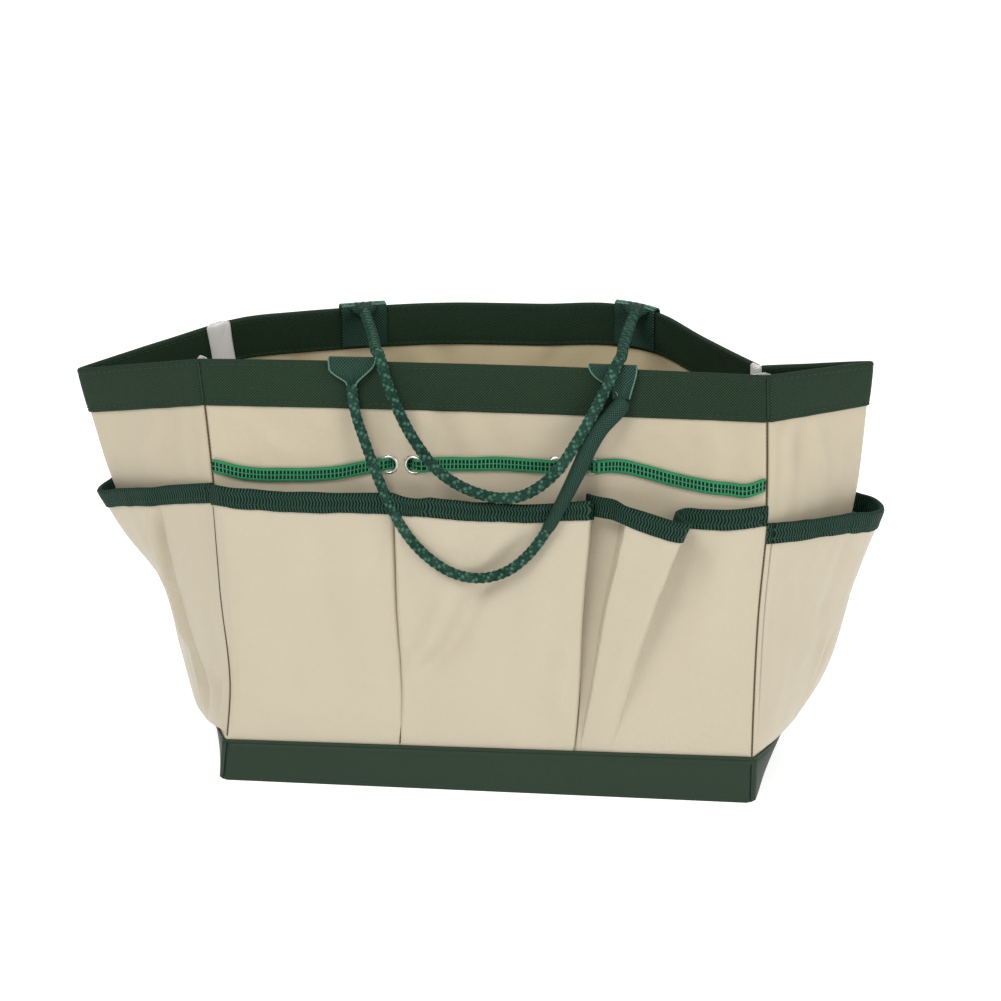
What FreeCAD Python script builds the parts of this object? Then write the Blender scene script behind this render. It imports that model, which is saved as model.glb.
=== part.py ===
import FreeCAD, Part
import math
import os

os.makedirs("parts", exist_ok=True)
V = FreeCAD.Vector

# Garden tool bag, millimetres, +Z up, +X to the right, front panel facing -Y.
# Origin: centre of the underside of the base.

# ---------------------------------------------------------------- driving sizes
BASE_LENGTH = 290.0        # front edge of the base
BASE_DEPTH = 156.0         # front edge to back edge of the base
WALL_HEIGHT = 232.0        # height of the walls, measured along the fabric
FABRIC = 1.2               # coated fabric of panels and gussets
POCKET_FABRIC = 0.9        # pocket fabric
BAND_FABRIC = 1.1          # green trim bands
TAPE = 0.85                # pocket binding tape
GAP = 0.1                  # air left between two layers that are sewn together
BASE_BAND = 22.0           # height of the green band round the base
TOP_BAND = 26.0            # height of the green band round the rim
TAPE_WIDTH = 10.5          # height of the pocket binding
STRAP_WIDTH = 7.0          # flat elastic tool strap
STRAP_THICK = 1.5
EYELET_HOLE = 3.7          # radius of the opening of an eyelet
EYELET_RIM = 5.2           # radius of its flange
ROPE = 6.5                 # diameter of the braided handle rope
WEB_WIDTH = 25.0           # flattened rope end that is sewn to the band
WEB = 1.2                  # its thickness
RIM_CROWN = 1.5            # the front rim is a little higher in the middle

FLOOR = BASE_DEPTH / 2
HALF = BASE_LENGTH / 2
BAND_BOTTOM = WALL_HEIGHT - TOP_BAND

# Seams and gusset folds: (height along the wall, x, y, z).
FRONT_LEFT_SEAM = [(0, -HALF, -FLOOR, 0), (22, -143, -75, 22), (50, -141, -71, 50), (105, -146, -63, 105),
                   (157, -150, -55, 157), (206, -155, -48, 205.5), (232, -158, -45, 231)]
FRONT_RIGHT_SEAM = [(0, HALF, -FLOOR, 0), (22, 145, -75, 22), (50, 145, -71, 50), (105, 146, -63, 105),
                    (157, 149, -55, 157), (206, 148, -48, 205.5), (232, 147, -45, 231)]
RIGHT_FOLD = [(0, 151, 0, 0), (22, 162, -1, 19), (50, 173, -2, 48), (105, 187, -3, 103),
              (157, 197, -3, 155), (206, 200.5, -3, 203), (232, 202, -3, 228)]
LEFT_FOLD = [(0, -151, 0, 0), (22, -162, -1, 18), (50, -175, -3, 44), (105, -198, -5, 98),
             (157, -217, -7, 146), (206, -228, -7, 187), (232, -234, -6, 212)]
# Rim of the back panel, which bows outward: (share of the panel from its right seam, x, y, z).
BACK_RIM = [(0.0, 143, 18, 217), (0.115, 108, 55, 223), (0.195, 84, 75, 230), (0.275, 59, 83, 232.5),
            (0.41, 17, 81, 232), (0.6, -42, 78, 231.8), (0.74, -86, 65, 231.8), (0.84, -119, 51, 231.8),
            (0.94, -150, 38, 231), (1.0, -165, 31, 228.5)]

LEVELS = [0, 22, 50, 80, 110, 140, 173, 206, 232]
SIDES = {"front": [i / 10 for i in range(11)],
         "right": [0, 0.02, 0.12, 0.25, 0.37, 0.46, 0.5, 0.54, 0.63, 0.75, 0.88, 0.98, 1],
         "back": [0, 0.014, 0.045, 0.115, 0.195, 0.275, 0.295, 0.325, 0.341, 0.367, 0.41, 0.5,
                  0.6, 0.634, 0.66, 0.676, 0.706, 0.74, 0.84, 0.94, 0.96, 0.986, 1],
         "left": [0, 0.02, 0.12, 0.25, 0.37, 0.46, 0.5, 0.54, 0.63, 0.75, 0.88, 0.98, 1]}


def mix(a, b, f):
    return a * (1 - f) + b * f


def along(rows, key):
    """Straight interpolation in a list of rows whose first value is the key."""
    for low, high in zip(rows, rows[1:]):
        if key <= high[0]:
            break
    f = (key - low[0]) / (high[0] - low[0])
    return [mix(a, b, f) for a, b in zip(low[1:], high[1:])]


def back_point(t, v):
    rim = V(*along(BACK_RIM, t))
    foot = V(mix(HALF, -HALF, t), FLOOR, 0)
    return mix(foot, rim, v / WALL_HEIGHT)


def wall_point(side, t, v):
    """Inner face of the fabric: t runs along one side, v up the wall."""
    if side == "back":
        return back_point(t, v)
    front_left = V(*along(FRONT_LEFT_SEAM, v))
    front_right = V(*along(FRONT_RIGHT_SEAM, v))
    if side == "front":
        lift = RIM_CROWN * 4 * t * (1 - t) * (v / WALL_HEIGHT) ** 4
        return mix(front_left, front_right, t) + V(0, 0, lift)
    if side == "right":
        start, fold, end = front_right, V(*along(RIGHT_FOLD, v)), back_point(0, v)
    else:
        start, fold, end = back_point(1, v), V(*along(LEFT_FOLD, v)), front_left
    crease = math.sqrt(v / WALL_HEIGHT)
    swell = mix(4 * t * (1 - t), 1 - abs(2 * t - 1), crease)
    return mix(start, end, t) + (fold - mix(start, end, 0.5)) * swell


def wall_grid():
    """Points and outward directions of the whole wall, one closed loop of columns."""
    loop = [(side, t) for side in SIDES for t in SIDES[side][:-1]]
    points = [[wall_point(side, t, v) for v in LEVELS] for side, t in loop]
    count, top = len(loop), len(LEVELS) - 1
    outward = []
    for j in range(count):
        column = []
        for k in range(top + 1):
            rise = points[j][min(k + 1, top)] - points[j][max(k - 1, 0)]
            before = (points[j][k] - points[j - 1][k]).cross(rise).normalize()
            after = (points[(j + 1) % count][k] - points[j][k]).cross(rise).normalize()
            way = (before + after).normalize()
            if k == 0:
                way = V(way.x, way.y, 0).normalize()
            column.append(way * min(1 / way.dot(before), 1.3))
        outward.append(column)
    grid = {}
    start = 0
    for side in SIDES:
        index = [(start + i) % count for i in range(len(SIDES[side]))]
        grid[side] = [(t, points[i], outward[i]) for t, i in zip(SIDES[side], index)]
        start += len(SIDES[side]) - 1
    return grid


GRID = wall_grid()


def in_cell(a, b, c, d, f, g):
    """Place in a cell with a, b at its foot and c, d at its top, f across and g up."""
    if g > 1:
        return mix(mix(a, b, f), mix(c, d, f), g)
    if f >= g:
        return a + (b - a) * f + (d - b) * g
    return a + (c - a) * g + (d - c) * f


def on_wall(side, t, v, offset):
    """Point at share t and height v of a side, moved outward by offset.

    Every cell of the wall is two flat triangles that meet on its rising diagonal,
    so that all layers sewn to the wall fold along the same lines.
    """
    rows = GRID[side]
    for low, high in zip(rows, rows[1:]):
        if t <= high[0]:
            break
    f = (t - low[0]) / (high[0] - low[0])
    k = 0
    while k < len(LEVELS) - 2 and v > LEVELS[k + 1]:
        k += 1
    g = (v - LEVELS[k]) / (LEVELS[k + 1] - LEVELS[k])
    point = in_cell(low[1][k], high[1][k], low[1][k + 1], high[1][k + 1], f, g)
    way = in_cell(low[2][k], high[2][k], low[2][k + 1], high[2][k + 1], f, min(g, 1))
    return point + way * offset


def share_at(side, x, v):
    """Share t of the front or back side where the wall stands at this x."""
    low, high = 0.0, 1.0
    for _ in range(40):
        half = (low + high) / 2
        beyond = on_wall(side, half, v, 0).x > x
        if beyond == (side == "front"):
            high = half
        else:
            low = half
    return (low + high) / 2


def flat_faces(a, b, c, d):
    """One quadrilateral as a plane, or as two triangles where it is twisted."""
    normal = (c - a).cross(d - b)
    if normal.Length < 1e-9:
        return []
    twist = abs((b - a).dot(normal) / normal.Length)
    corners = []
    for p in (a, b, c, d):
        if not corners or (p - corners[-1]).Length > 1e-6:
            corners.append(p)
    if (corners[0] - corners[-1]).Length < 1e-6:
        corners.pop()
    if len(corners) < 3:
        return []
    if twist < 1e-7 or len(corners) == 3:
        return [Part.Face(Part.makePolygon(corners + [corners[0]]))]
    return [Part.Face(Part.makePolygon([a, b, c, a])), Part.Face(Part.makePolygon([a, c, d, a]))]


def fabric(rows):
    """Solid between an outer and an inner path that are repeated row after row."""
    rings = [outer + inner[::-1] for outer, inner in rows]
    faces = []
    for this, following in zip(rings, rings[1:]):
        for i in range(len(this)):
            n = (i + 1) % len(this)
            if this[n].z >= this[i].z:
                faces += flat_faces(this[i], this[n], following[n], following[i])
            else:
                faces += flat_faces(this[n], following[n], following[i], this[i])
    for outer, inner in (rows[0], rows[-1]):
        for i in range(len(outer) - 1):
            faces += flat_faces(outer[i], outer[i + 1], inner[i + 1], inner[i])
    shell = Part.makeShell(faces)
    shell.sewShape()
    solid = Part.makeSolid(shell)
    if solid.Volume < 0:
        solid.reverse()
    return solid


def layer(side, columns, outer, inner):
    """Layer sewn to one side of the wall; outer and inner list (height, offset)."""
    rows = []
    for t in columns:
        rows.append(([on_wall(side, t, v, o) for v, o in outer], [on_wall(side, t, v, o) for v, o in inner]))
    return fabric(rows)


def save(node, shape):
    shape.exportStep("parts/%s.step" % node)
    if not shape.isValid() or len(shape.Solids) < 1:
        print("NOT VALID", node)
    print("%-28s %9.1f mm3  %d solid(s)" % (node, shape.Volume, len(shape.Solids)))


# ---------------------------------------------------------------- eyelets and strap
# x of the eyelets and height of their centres; the strap dives through each pair.
EYELETS = {"front": [(-54.5, 179.5), (-40.5, 180.5), (36.5, 182.5), (54.5, 183.0)],
           "back": [(-60.5, 180.0), (-45.5, 180.0), (31.0, 180.0), (48.5, 180.0)]}
STRAP_HEIGHT = {"front": [(-160, 176), (-149, 175.5), (-132, 173.2), (-96, 175), (-66, 178), (-54.5, 179.5),
                          (-40.5, 180.5), (-10, 182), (36.5, 182.5), (54.5, 183), (70, 183), (85, 180.8),
                          (99, 177.6), (113, 174.6), (128, 172.5), (138, 172), (148, 176), (160, 178)],
                "back": [(-180, 180), (180, 180)]}
STRAP_MARKS = {"front": [-132, -114, -96, -81, -66, -28, -10, 3, 20, 70, 85, 99, 113, 128, 138]}
EYELET_PLATE = 0.6
EYELET_SEAT = 0.17         # air between its two plates and the fabric


def wall_frame(side, x, v):
    """Point on the wall with its outward and its rightward direction."""
    t = share_at(side, x, v)
    origin = on_wall(side, t, v, 0)
    out = (on_wall(side, t, v, 1) - origin).normalize()
    return origin, out


def eyelet(side, x, v):
    origin, out = wall_frame(side, x, v)
    lower = -EYELET_SEAT - EYELET_PLATE
    upper = FABRIC + EYELET_SEAT + EYELET_PLATE
    body = Part.makeCylinder(EYELET_HOLE + 0.5, upper - lower, origin + out * lower, out)
    body = body.fuse(Part.makeCylinder(EYELET_RIM, EYELET_PLATE, origin + out * lower, out))
    body = body.fuse(Part.makeCylinder(EYELET_RIM, EYELET_PLATE, origin + out * (FABRIC + EYELET_SEAT), out))
    return body.cut(Part.makeCylinder(EYELET_HOLE, 9, origin - out * 4, out)).removeSplitter()


def punched(side, panel):
    for x, v in EYELETS[side]:
        origin, out = wall_frame(side, x, v)
        panel = panel.cut(Part.makeCylinder(EYELET_HOLE + 0.65, 8, origin - out * 3, out))
    return panel


def strap(side):
    """Flat elastic that runs outside, dives through an eyelet and comes out of the next."""
    ends = sorted([on_wall(side, 0.006, 175, 0).x, on_wall(side, 0.994, 175, 0).x])
    outside, inside = FABRIC + GAP + EYELET_PLATE + 0.2 + STRAP_THICK / 2, -1.0 - STRAP_THICK / 2
    holes = [x for x, _ in EYELETS[side]]
    marks = STRAP_MARKS.get(side) or [on_wall(side, t, 180, 0).x for t in SIDES[side][1:-1]]
    marks = sorted(x for x in marks if all(abs(x - hole) > 4 for hole in holes))
    path = [(ends[0], outside)] + [(x, outside) for x in marks if x < holes[0]]
    path += [(holes[0], outside), (holes[0], inside), (holes[1], inside), (holes[1], outside)]
    path += [(x, outside) for x in marks if holes[1] < x < holes[2]]
    path += [(holes[2], outside), (holes[2], inside), (holes[3], inside), (holes[3], outside)]
    path += [(x, outside) for x in marks if x > holes[3]] + [(ends[1], outside)]
    rows = []
    for i, (x, o) in enumerate(path):
        before, after = path[max(i - 1, 0)], path[min(i + 1, len(path) - 1)]
        ways = []
        for p, q in ((before, (x, o)), ((x, o), after)):
            run = math.hypot(q[0] - p[0], q[1] - p[1])
            if run > 0:
                ways.append((-(q[1] - p[1]) / run, (q[0] - p[0]) / run))
        nx, no = sum(w[0] for w in ways), sum(w[1] for w in ways)
        size = math.hypot(nx, no)
        spread = STRAP_THICK / 2 / max(ways[0][0] * nx / size + ways[0][1] * no / size, 0.5)
        at_hole = any(abs(x - hole) < 0.1 for hole in holes)
        half = 2.5 if at_hole else STRAP_WIDTH / 2
        v = along(STRAP_HEIGHT[side], x)[0]
        sides = []
        for way in (1, -1):
            xx, oo = x + way * spread * nx / size, o + way * spread * no / size
            t = share_at(side, xx, v)
            sides.append([on_wall(side, t, v - half, oo), on_wall(side, t, v + half, oo)])
        rows.append((sides[0], sides[1]))
    return fabric(rows)


# ---------------------------------------------------------------- walls, base, bands
def panels():
    outer = [(v, FABRIC) for v in LEVELS]
    inner = [(v, 0) for v in LEVELS]
    names = {"front": "front_panel", "right": "right_gusset", "back": "back_panel", "left": "left_gusset"}
    for side, name in names.items():
        panel = layer(side, SIDES[side], outer, inner)
        if side in ("front", "back"):
            panel = punched(side, panel)
        save(name, panel)


def base_outline(inset, z):
    corners = []
    for side in SIDES:
        for t in SIDES[side][:-1]:
            p = on_wall(side, t, 0, -inset)
            corners.append(V(p.x, p.y, z))
    return Part.Face(Part.makePolygon(corners + [corners[0]]))


def base():
    save("base_panel", base_outline(0.35, 0).extrude(V(0, 0, FABRIC)))
    save("base_board", base_outline(2.5, FABRIC + GAP).extrude(V(0, 0, 2.4)))


def bands():
    low = FABRIC + POCKET_FABRIC + 2 * GAP
    high = low + BAND_FABRIC
    on = FABRIC + GAP
    over = on + BAND_FABRIC
    under = -GAP - BAND_FABRIC
    top = WALL_HEIGHT + 1.2
    wrap = [(BAND_BOTTOM, over), (WALL_HEIGHT, over), (top, 1.7), (top, -0.5), (WALL_HEIGHT, under),
            (BAND_BOTTOM, under)]
    lining = [(BAND_BOTTOM, on), (WALL_HEIGHT + 0.05, on), (WALL_HEIGHT + 0.05, 1.0), (WALL_HEIGHT + 0.05, 0.2),
              (WALL_HEIGHT + 0.05, -GAP), (BAND_BOTTOM, -GAP)]
    for side in SIDES:
        save(side + "_base_band", layer(side, SIDES[side], [(0, high), (BASE_BAND, high)],
                                        [(0, low), (BASE_BAND, low)]))
        save(side + "_top_band", layer(side, SIDES[side], wrap, lining))


def seam_bindings():
    """White twill tape over the four upright seams, inside the bag."""
    reach = 5.5
    corners = {"front_left": ("left", "front", 236.0), "front_right": ("front", "right", 235.5),
               "back_right": ("right", "back", 234.5), "back_left": ("back", "left", 234.5)}
    near, far = -GAP * 2 - BAND_FABRIC - 0.1, -GAP * 2 - BAND_FABRIC - 1.0
    for corner, (before, after, top) in corners.items():
        rows = []
        for v in [6, 22, 50, 105, 157, 206, 232, top]:
            width_before = (on_wall(before, 0.9, v, 0) - on_wall(before, 1, v, 0)).Length * 10
            width_after = (on_wall(after, 0.1, v, 0) - on_wall(after, 0, v, 0)).Length * 10
            places = [(before, 1 - reach / width_before), (after, 0), (after, reach / width_after)]
            rows.append(([on_wall(s, t, v, near) for s, t in places], [on_wall(s, t, v, far) for s, t in places]))
        save(corner + "_seam_binding", fabric(rows))


# ---------------------------------------------------------------- pockets
def pocket(side, name, columns, power=0.85):
    """Pocket and its binding tape; columns list (t at foot, t at top, swell, height)."""
    points = []
    for foot, top, swell, height in columns:
        column = []
        for v in [0, 22, 50, 80, 110, min(140, height - 16), height - TAPE_WIDTH, height]:
            f = max(v - 22, 0) / (height - 22)
            offset = FABRIC + GAP + 1.1 * f + swell * f ** power
            column.append(on_wall(side, mix(foot, top, f), v, offset))
        points.append(column)
    count, levels = len(points), len(points[0])
    rows, edge = [], []
    for j in range(count):
        outer, inner, ways = [], [], []
        for k in range(levels):
            run = points[min(j + 1, count - 1)][k] - points[max(j - 1, 0)][k]
            rise = points[j][min(k + 1, levels - 1)] - points[j][max(k - 1, 0)]
            way = run.cross(rise).normalize()
            if k < 2:
                way = on_wall(side, columns[j][0], 22 * k, 1) - on_wall(side, columns[j][0], 22 * k, 0)
            ways.append(way)
            inner.append(points[j][k])
            outer.append(points[j][k] + way * POCKET_FABRIC)
        rows.append((outer, inner))
        a, b = points[j][-2], points[j][-1]
        up = (b - a).normalize()
        m, n = ways[-2], ways[-1]
        out, back = POCKET_FABRIC + GAP + TAPE, -GAP - TAPE
        edge.append(([a + m * out, b + up * 0.4 + n * out, b + up + n * (out - 0.5), b + up + n * (back + 0.5),
                      b + up * 0.4 + n * back, a + m * back],
                     [a + m * (out - TAPE), b + up * 0.1 + n * (out - TAPE), b + up * 0.1 + n * (out - TAPE - 0.2),
                      b + up * 0.1 + n * (back + TAPE + 0.2), b + up * 0.1 + n * (back + TAPE),
                      a + m * (back + TAPE)]))
    save(name + "_pocket", fabric(rows))
    save(name + "_pocket_binding", fabric(edge))


def plain_columns(side, feet, tops, swell, heights):
    """Pocket that stands off evenly; heights are those at its two ends and its middle."""
    if side == "front":
        shares = [0, 0.04, 0.12, 0.3, 0.5, 0.7, 0.88, 0.96, 1]
    else:
        shares = [(t - feet[0]) / (feet[1] - feet[0]) for t in SIDES[side] if feet[0] <= t <= feet[1]]
    columns = []
    for s in shares:
        middle = 4 * s * (1 - s)
        height = mix(mix(heights[0], heights[2], s), heights[1], middle)
        full = 1 - abs(2 * s - 1) ** 5
        columns.append((mix(feet[0], feet[1], s), mix(tops[0], tops[1], s), swell * full, height))
    return columns


def pockets():
    pocket("front", "front_left", plain_columns("front", (0.014, 0.325), (0.014, 0.326), 9.5, (168.5, 166, 169.5)))
    pocket("front", "front_middle", plain_columns("front", (0.341, 0.664), (0.342, 0.689), 10, (168, 165, 170.5)))
    # The fullness of the right front pocket has fallen over into one standing fold.
    x_top = [61, 67, 77, 90, 103, 108.5, 107.5, 102.5, 106, 117, 131, 143.5]
    x_foot = [51.5, 53.5, 56, 59, 62, 64.5, 67, 70, 74, 95, 118, 140]
    swell = [0, 7.5, 13.5, 19, 22.5, 21, 16.5, 6.5, 2.5, 2.5, 2.5, 0]
    height = [170.5, 168.5, 164.5, 160, 157, 157, 158.5, 163.5, 165.5, 165, 165, 167.5]
    columns = [(share_at("front", b, 22), share_at("front", a, 165), s, h)
               for a, b, s, h in zip(x_top, x_foot, swell, height)]
    pocket("front", "front_right", columns)
    pocket("back", "back_right", plain_columns("back", (0.014, 0.325), (0.014, 0.325), 8, (167, 166, 168)))
    pocket("back", "back_middle", plain_columns("back", (0.341, 0.66), (0.341, 0.66), 9, (168, 165, 168)))
    pocket("back", "back_left", plain_columns("back", (0.676, 0.986), (0.676, 0.986), 8, (168, 166, 167)))
    for side, tip, seam, swell in (("right", 150, 154, 14.0), ("left", 157, 166, 7.5)):
        columns = []
        for t in [0.02, 0.12, 0.25, 0.37, 0.46, 0.5, 0.54, 0.63, 0.75, 0.88, 0.98]:
            tent = 1 - abs(2 * t - 1)
            columns.append((t, t, swell * tent ** 0.7 if 0.05 < t < 0.95 else 0, mix(seam, tip, tent)))
        pocket(side, side + "_side", columns)


# ---------------------------------------------------------------- handles
HINGE_HEIGHT = WALL_HEIGHT - 0.2       # level of the handle hinge lines, inside the rim
HINGE_OFFSET = 0.6                     # middle of the rim's thickness
WRAP = [(-3.35, -24.5), (-3.35, 0), (-2.1, 2.55), (2.1, 2.55), (3.35, 0)]
WRAP_INSIDE = [(-2.2, -24.5), (-2.2, 0), (-1.35, 1.65), (1.35, 1.65), (2.2, 0)]


def anchor(side, x, tail):
    """Flattened rope end: up the inside of the band, over the rim and down outside."""
    ends = sorted(share_at(side, x + dx, 220) for dx in (-WEB_WIDTH / 2, WEB_WIDTH / 2))
    columns = [ends[0]] + [t for t in SIDES[side] if ends[0] + 0.004 < t < ends[1] - 0.004] + [ends[1]]
    paths = []
    for path in (WRAP, WRAP_INSIDE):
        path = path + [(path[-1][0], -tail)]
        paths.append([(HINGE_HEIGHT + up, HINGE_OFFSET + out) for out, up in path])
    return layer(side, columns, paths[0], paths[1])


def tab(left_top, right_top, left_end, right_end, length):
    """Moving part of a front rope end: it hangs outside and narrows into the rope."""
    rows = []
    for f in (0, 0.5, 1):
        v = HINGE_HEIGHT - length * f
        edges = [mix(left_top, left_end, f), mix(right_top, right_end, f)]
        shares = [share_at("front", x, v) for x in edges]
        rows.append(([on_wall("front", t, v, HINGE_OFFSET + 5.0) for t in shares],
                     [on_wall("front", t, v, HINGE_OFFSET + 3.9) for t in shares]))
    return fabric(rows)


def rope_wire(points):
    """Straight runs joined by tangent arcs; returns the wire, its length and its radii."""
    edges, radii = [], []
    start = points[0]
    for before, corner, after in zip(points, points[1:], points[2:]):
        a, b = corner - before, after - corner
        turn = a.getAngle(b)
        reach = 0.45 * min(a.Length, b.Length)
        radii.append(reach / math.tan(turn / 2))
        u, w = V(a).normalize(), V(b).normalize()
        first, last = corner - u * reach, corner + w * reach
        bisector = (w - u).normalize()
        centre = corner + bisector * (radii[-1] / math.cos(turn / 2))
        middle = centre - bisector * radii[-1]
        edges.append(Part.LineSegment(start, first).toShape())
        edges.append(Part.Arc(first, middle, last).toShape())
        start = last
    edges.append(Part.LineSegment(start, points[-1]).toShape())
    wire = Part.Wire(edges)
    return wire, radii


def rope(name, points, balls=(False, False)):
    """Braided rope as a round tube along its points, with round ends where asked."""
    wire, radii = rope_wire(points)
    way = (points[1] - points[0]).normalize()
    section = Part.Wire(Part.makeCircle(ROPE / 2, points[0], way))
    tube = wire.makePipeShell([section], True, True)
    ratio = tube.Volume / (math.pi * ROPE ** 2 / 4 * wire.Length)
    print("%s: length %.1f, radii %s, volume/ideal %.4f"
          % (name, wire.Length, ["%.0f" % r for r in radii], ratio))
    ends = [(points[0], points[0] - points[1]), (points[-1], points[-1] - points[-2])]
    for ball, (end, way) in zip(balls, ends):
        if ball:
            tube = tube.fuse(Part.makeSphere(ROPE / 2, end, way, 0, 90, 360))
    return tube


FRONT_LEFT_X = -74.0
FRONT_RIGHT_X = 65.5
REAR_LEFT_X = -85.0
REAR_RIGHT_X = 71.0
BEND_Y = -51.0             # line where the rear handle folds over the front rim
BEND_Z = 239.4
BEND_LEFT_X = -56.0
BEND_RIGHT_X = 66.0


def handles():
    save("front_left_anchor", anchor("front", FRONT_LEFT_X, 0.8))
    save("front_right_anchor", anchor("front", FRONT_RIGHT_X, 6))
    save("rear_left_anchor", anchor("back", REAR_LEFT_X, 6))
    save("rear_right_anchor", anchor("back", REAR_RIGHT_X, 6))
    save("front_left_tab", tab(FRONT_LEFT_X - 12.5, FRONT_LEFT_X + 12.5, -77.5, -70.5, 8.8))
    save("front_right_tab", tab(70.4, 78, 70.4, 77.2, 8.8))

    starts = [on_wall("front", share_at("front", x, 219), 219.4, HINGE_OFFSET + 5.6) for x in (-74, 71.5)]
    loop = [starts[0], V(-61.5, -60.5, 196), V(-52, -68.5, 167), V(-38, -74.5, 141), V(-15, -77.5, 123.5),
            V(9, -77.5, 124.5), V(28.5, -76, 142), V(45, -71, 172), V(59, -61.5, 203), starts[1]]
    save("front_handle_rope", rope("front_handle_rope", loop, (True, True)))

    hinge = []
    for name, x, bend_x, sag in (("left", REAR_LEFT_X, BEND_LEFT_X, V(-72.5, 2, 234.2)),
                                 ("right", REAR_RIGHT_X, BEND_RIGHT_X, V(68, 8, 234.8))):
        point = on_wall("back", share_at("back", x, 220), HINGE_HEIGHT, HINGE_OFFSET)
        hinge.append(point)
        bend = V(bend_x, BEND_Y, BEND_Z)
        start = point + (sag - point).normalize() * 7.8
        node = "rear_handle_%s_rope" % name
        save(node, rope(node, [start, sag, bend], (True, True)))
    print("rear hinge line", hinge[0], hinge[1])
    left, right = V(BEND_LEFT_X, BEND_Y, BEND_Z), V(BEND_RIGHT_X, BEND_Y, BEND_Z)
    loop = [left, V(-52, -56.5, 222), V(-42, -64, 199), V(-22, -71.5, 176), V(12, -74, 165.5),
            V(35.5, -71, 178), V(49.8, -63.5, 203), V(58.5, -57, 222), right]
    loop[0] = left + (loop[1] - left).normalize() * 3.6
    loop[-1] = right + (loop[-2] - right).normalize() * 3.6
    save("rear_handle_loop_rope", rope("rear_handle_loop_rope", loop))
    print("front hinge line", on_wall("front", share_at("front", FRONT_LEFT_X, 220), HINGE_HEIGHT, HINGE_OFFSET),
          on_wall("front", share_at("front", FRONT_RIGHT_X, 220), HINGE_HEIGHT, HINGE_OFFSET))


panels()
base()
bands()
seam_bindings()
pockets()
for face in ("front", "back"):
    save(face + "_elastic", strap(face))
    for number, (eyelet_x, eyelet_v) in enumerate(EYELETS[face], 1):
        save("%s_eyelet_%d" % (face, number), eyelet(face, eyelet_x, eyelet_v))
handles()
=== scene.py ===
import math

import bmesh
import bpy
import numpy as np
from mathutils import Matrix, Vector


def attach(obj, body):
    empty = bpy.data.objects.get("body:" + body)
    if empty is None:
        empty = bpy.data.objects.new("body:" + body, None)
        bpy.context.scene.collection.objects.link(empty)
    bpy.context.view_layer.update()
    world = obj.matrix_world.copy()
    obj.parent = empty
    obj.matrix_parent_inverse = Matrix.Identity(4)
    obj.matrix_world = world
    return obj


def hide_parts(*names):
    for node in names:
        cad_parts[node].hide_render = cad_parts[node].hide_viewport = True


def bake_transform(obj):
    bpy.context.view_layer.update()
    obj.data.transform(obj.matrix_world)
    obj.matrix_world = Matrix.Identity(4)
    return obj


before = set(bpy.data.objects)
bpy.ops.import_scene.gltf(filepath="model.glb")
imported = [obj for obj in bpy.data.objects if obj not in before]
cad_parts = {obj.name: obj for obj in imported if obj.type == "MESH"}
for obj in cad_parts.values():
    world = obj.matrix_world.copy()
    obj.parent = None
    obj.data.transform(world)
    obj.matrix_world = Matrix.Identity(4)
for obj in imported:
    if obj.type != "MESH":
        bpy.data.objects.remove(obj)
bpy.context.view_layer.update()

# Garden tool bag. Sizes are in millimetres here and turned into metres when a mesh is made.
HALF, FLOOR, WALL = 145.0, 78.0, 232.0
FABRIC, POCKET, BAND, TAPE, GAP = 1.2, 0.9, 1.1, 0.85, 0.1     # thicknesses, and the gap between two layers
TAPE_WIDTH, MIDDLE_TAPE_WIDTH = 9.7, 8.7
FOOT, ROPE = 25.2, 6.5               # height of the pockets' lower seam, thickness of the ropes
HINGE_V, HINGE_O = 231.8, 0.6        # the rope ends' hinge line: height and offset on the wall
ELASTIC_WIDTH, SEAM = 7.0, 0.42     # SEAM is the radius of a dark line at a corner or a pocket seam; on the beige cloth that line is painted shade
HERRINGBONE = 5.8                   # width of two stripes of the tape's weave
STRANDS, LEAD = 4, 14.0             # of the braided ropes: strands each way, length of one turn
EDGE_ROUNDING = 0.3     # how far a sheet's rim bulges, as a share of its thickness
SEAM_DRAW = 0.95        # how far a seam pulls the cloth in, in mm

ORDER = ("front", "right", "back", "left")

FRONT_LEFT_SEAM = [(0, -145, -78, 0), (22, -143, -75, 22), (50, -141, -71, 50), (105, -146, -63, 105),
                   (157, -150, -55, 157), (206, -155, -48, 205.5), (232, -158, -45, 231)]
FRONT_RIGHT_SEAM = [(0, 145, -78, 0), (22, 145, -75, 22), (50, 145, -71, 50), (105, 146, -63, 105),
                    (157, 149, -55, 157), (206, 148, -48, 205.5), (232, 147, -45, 231)]
RIGHT_FOLD = [(0, 151, 0, 0), (22, 162, -1, 19), (50, 173, -2, 48), (105, 187, -3, 103),
              (157, 197, -3, 155), (206, 200.5, -3, 203), (232, 202, -3, 228)]
LEFT_FOLD = [(0, -151, 0, 0), (22, -162, -1, 18), (50, -175, -3, 44), (105, -198, -5, 98),
             (157, -217, -7, 146), (206, -228, -7, 187), (232, -234, -6, 212)]
BACK_RIM = [(0.0, 143, 18, 217), (0.115, 108, 55, 223), (0.195, 84, 75, 230), (0.275, 59, 83, 232.5),
            (0.41, 17, 81, 232), (0.6, -42, 78, 231.8), (0.74, -86, 65, 231.8), (0.84, -119, 51, 231.8),
            (0.94, -150, 38, 231), (1.0, -165, 31, 228.5)]


# ---------------------------------------------------------------- helpers for shapes
def mix(a, b, f):
    return a * (1 - f) + b * f


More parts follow.
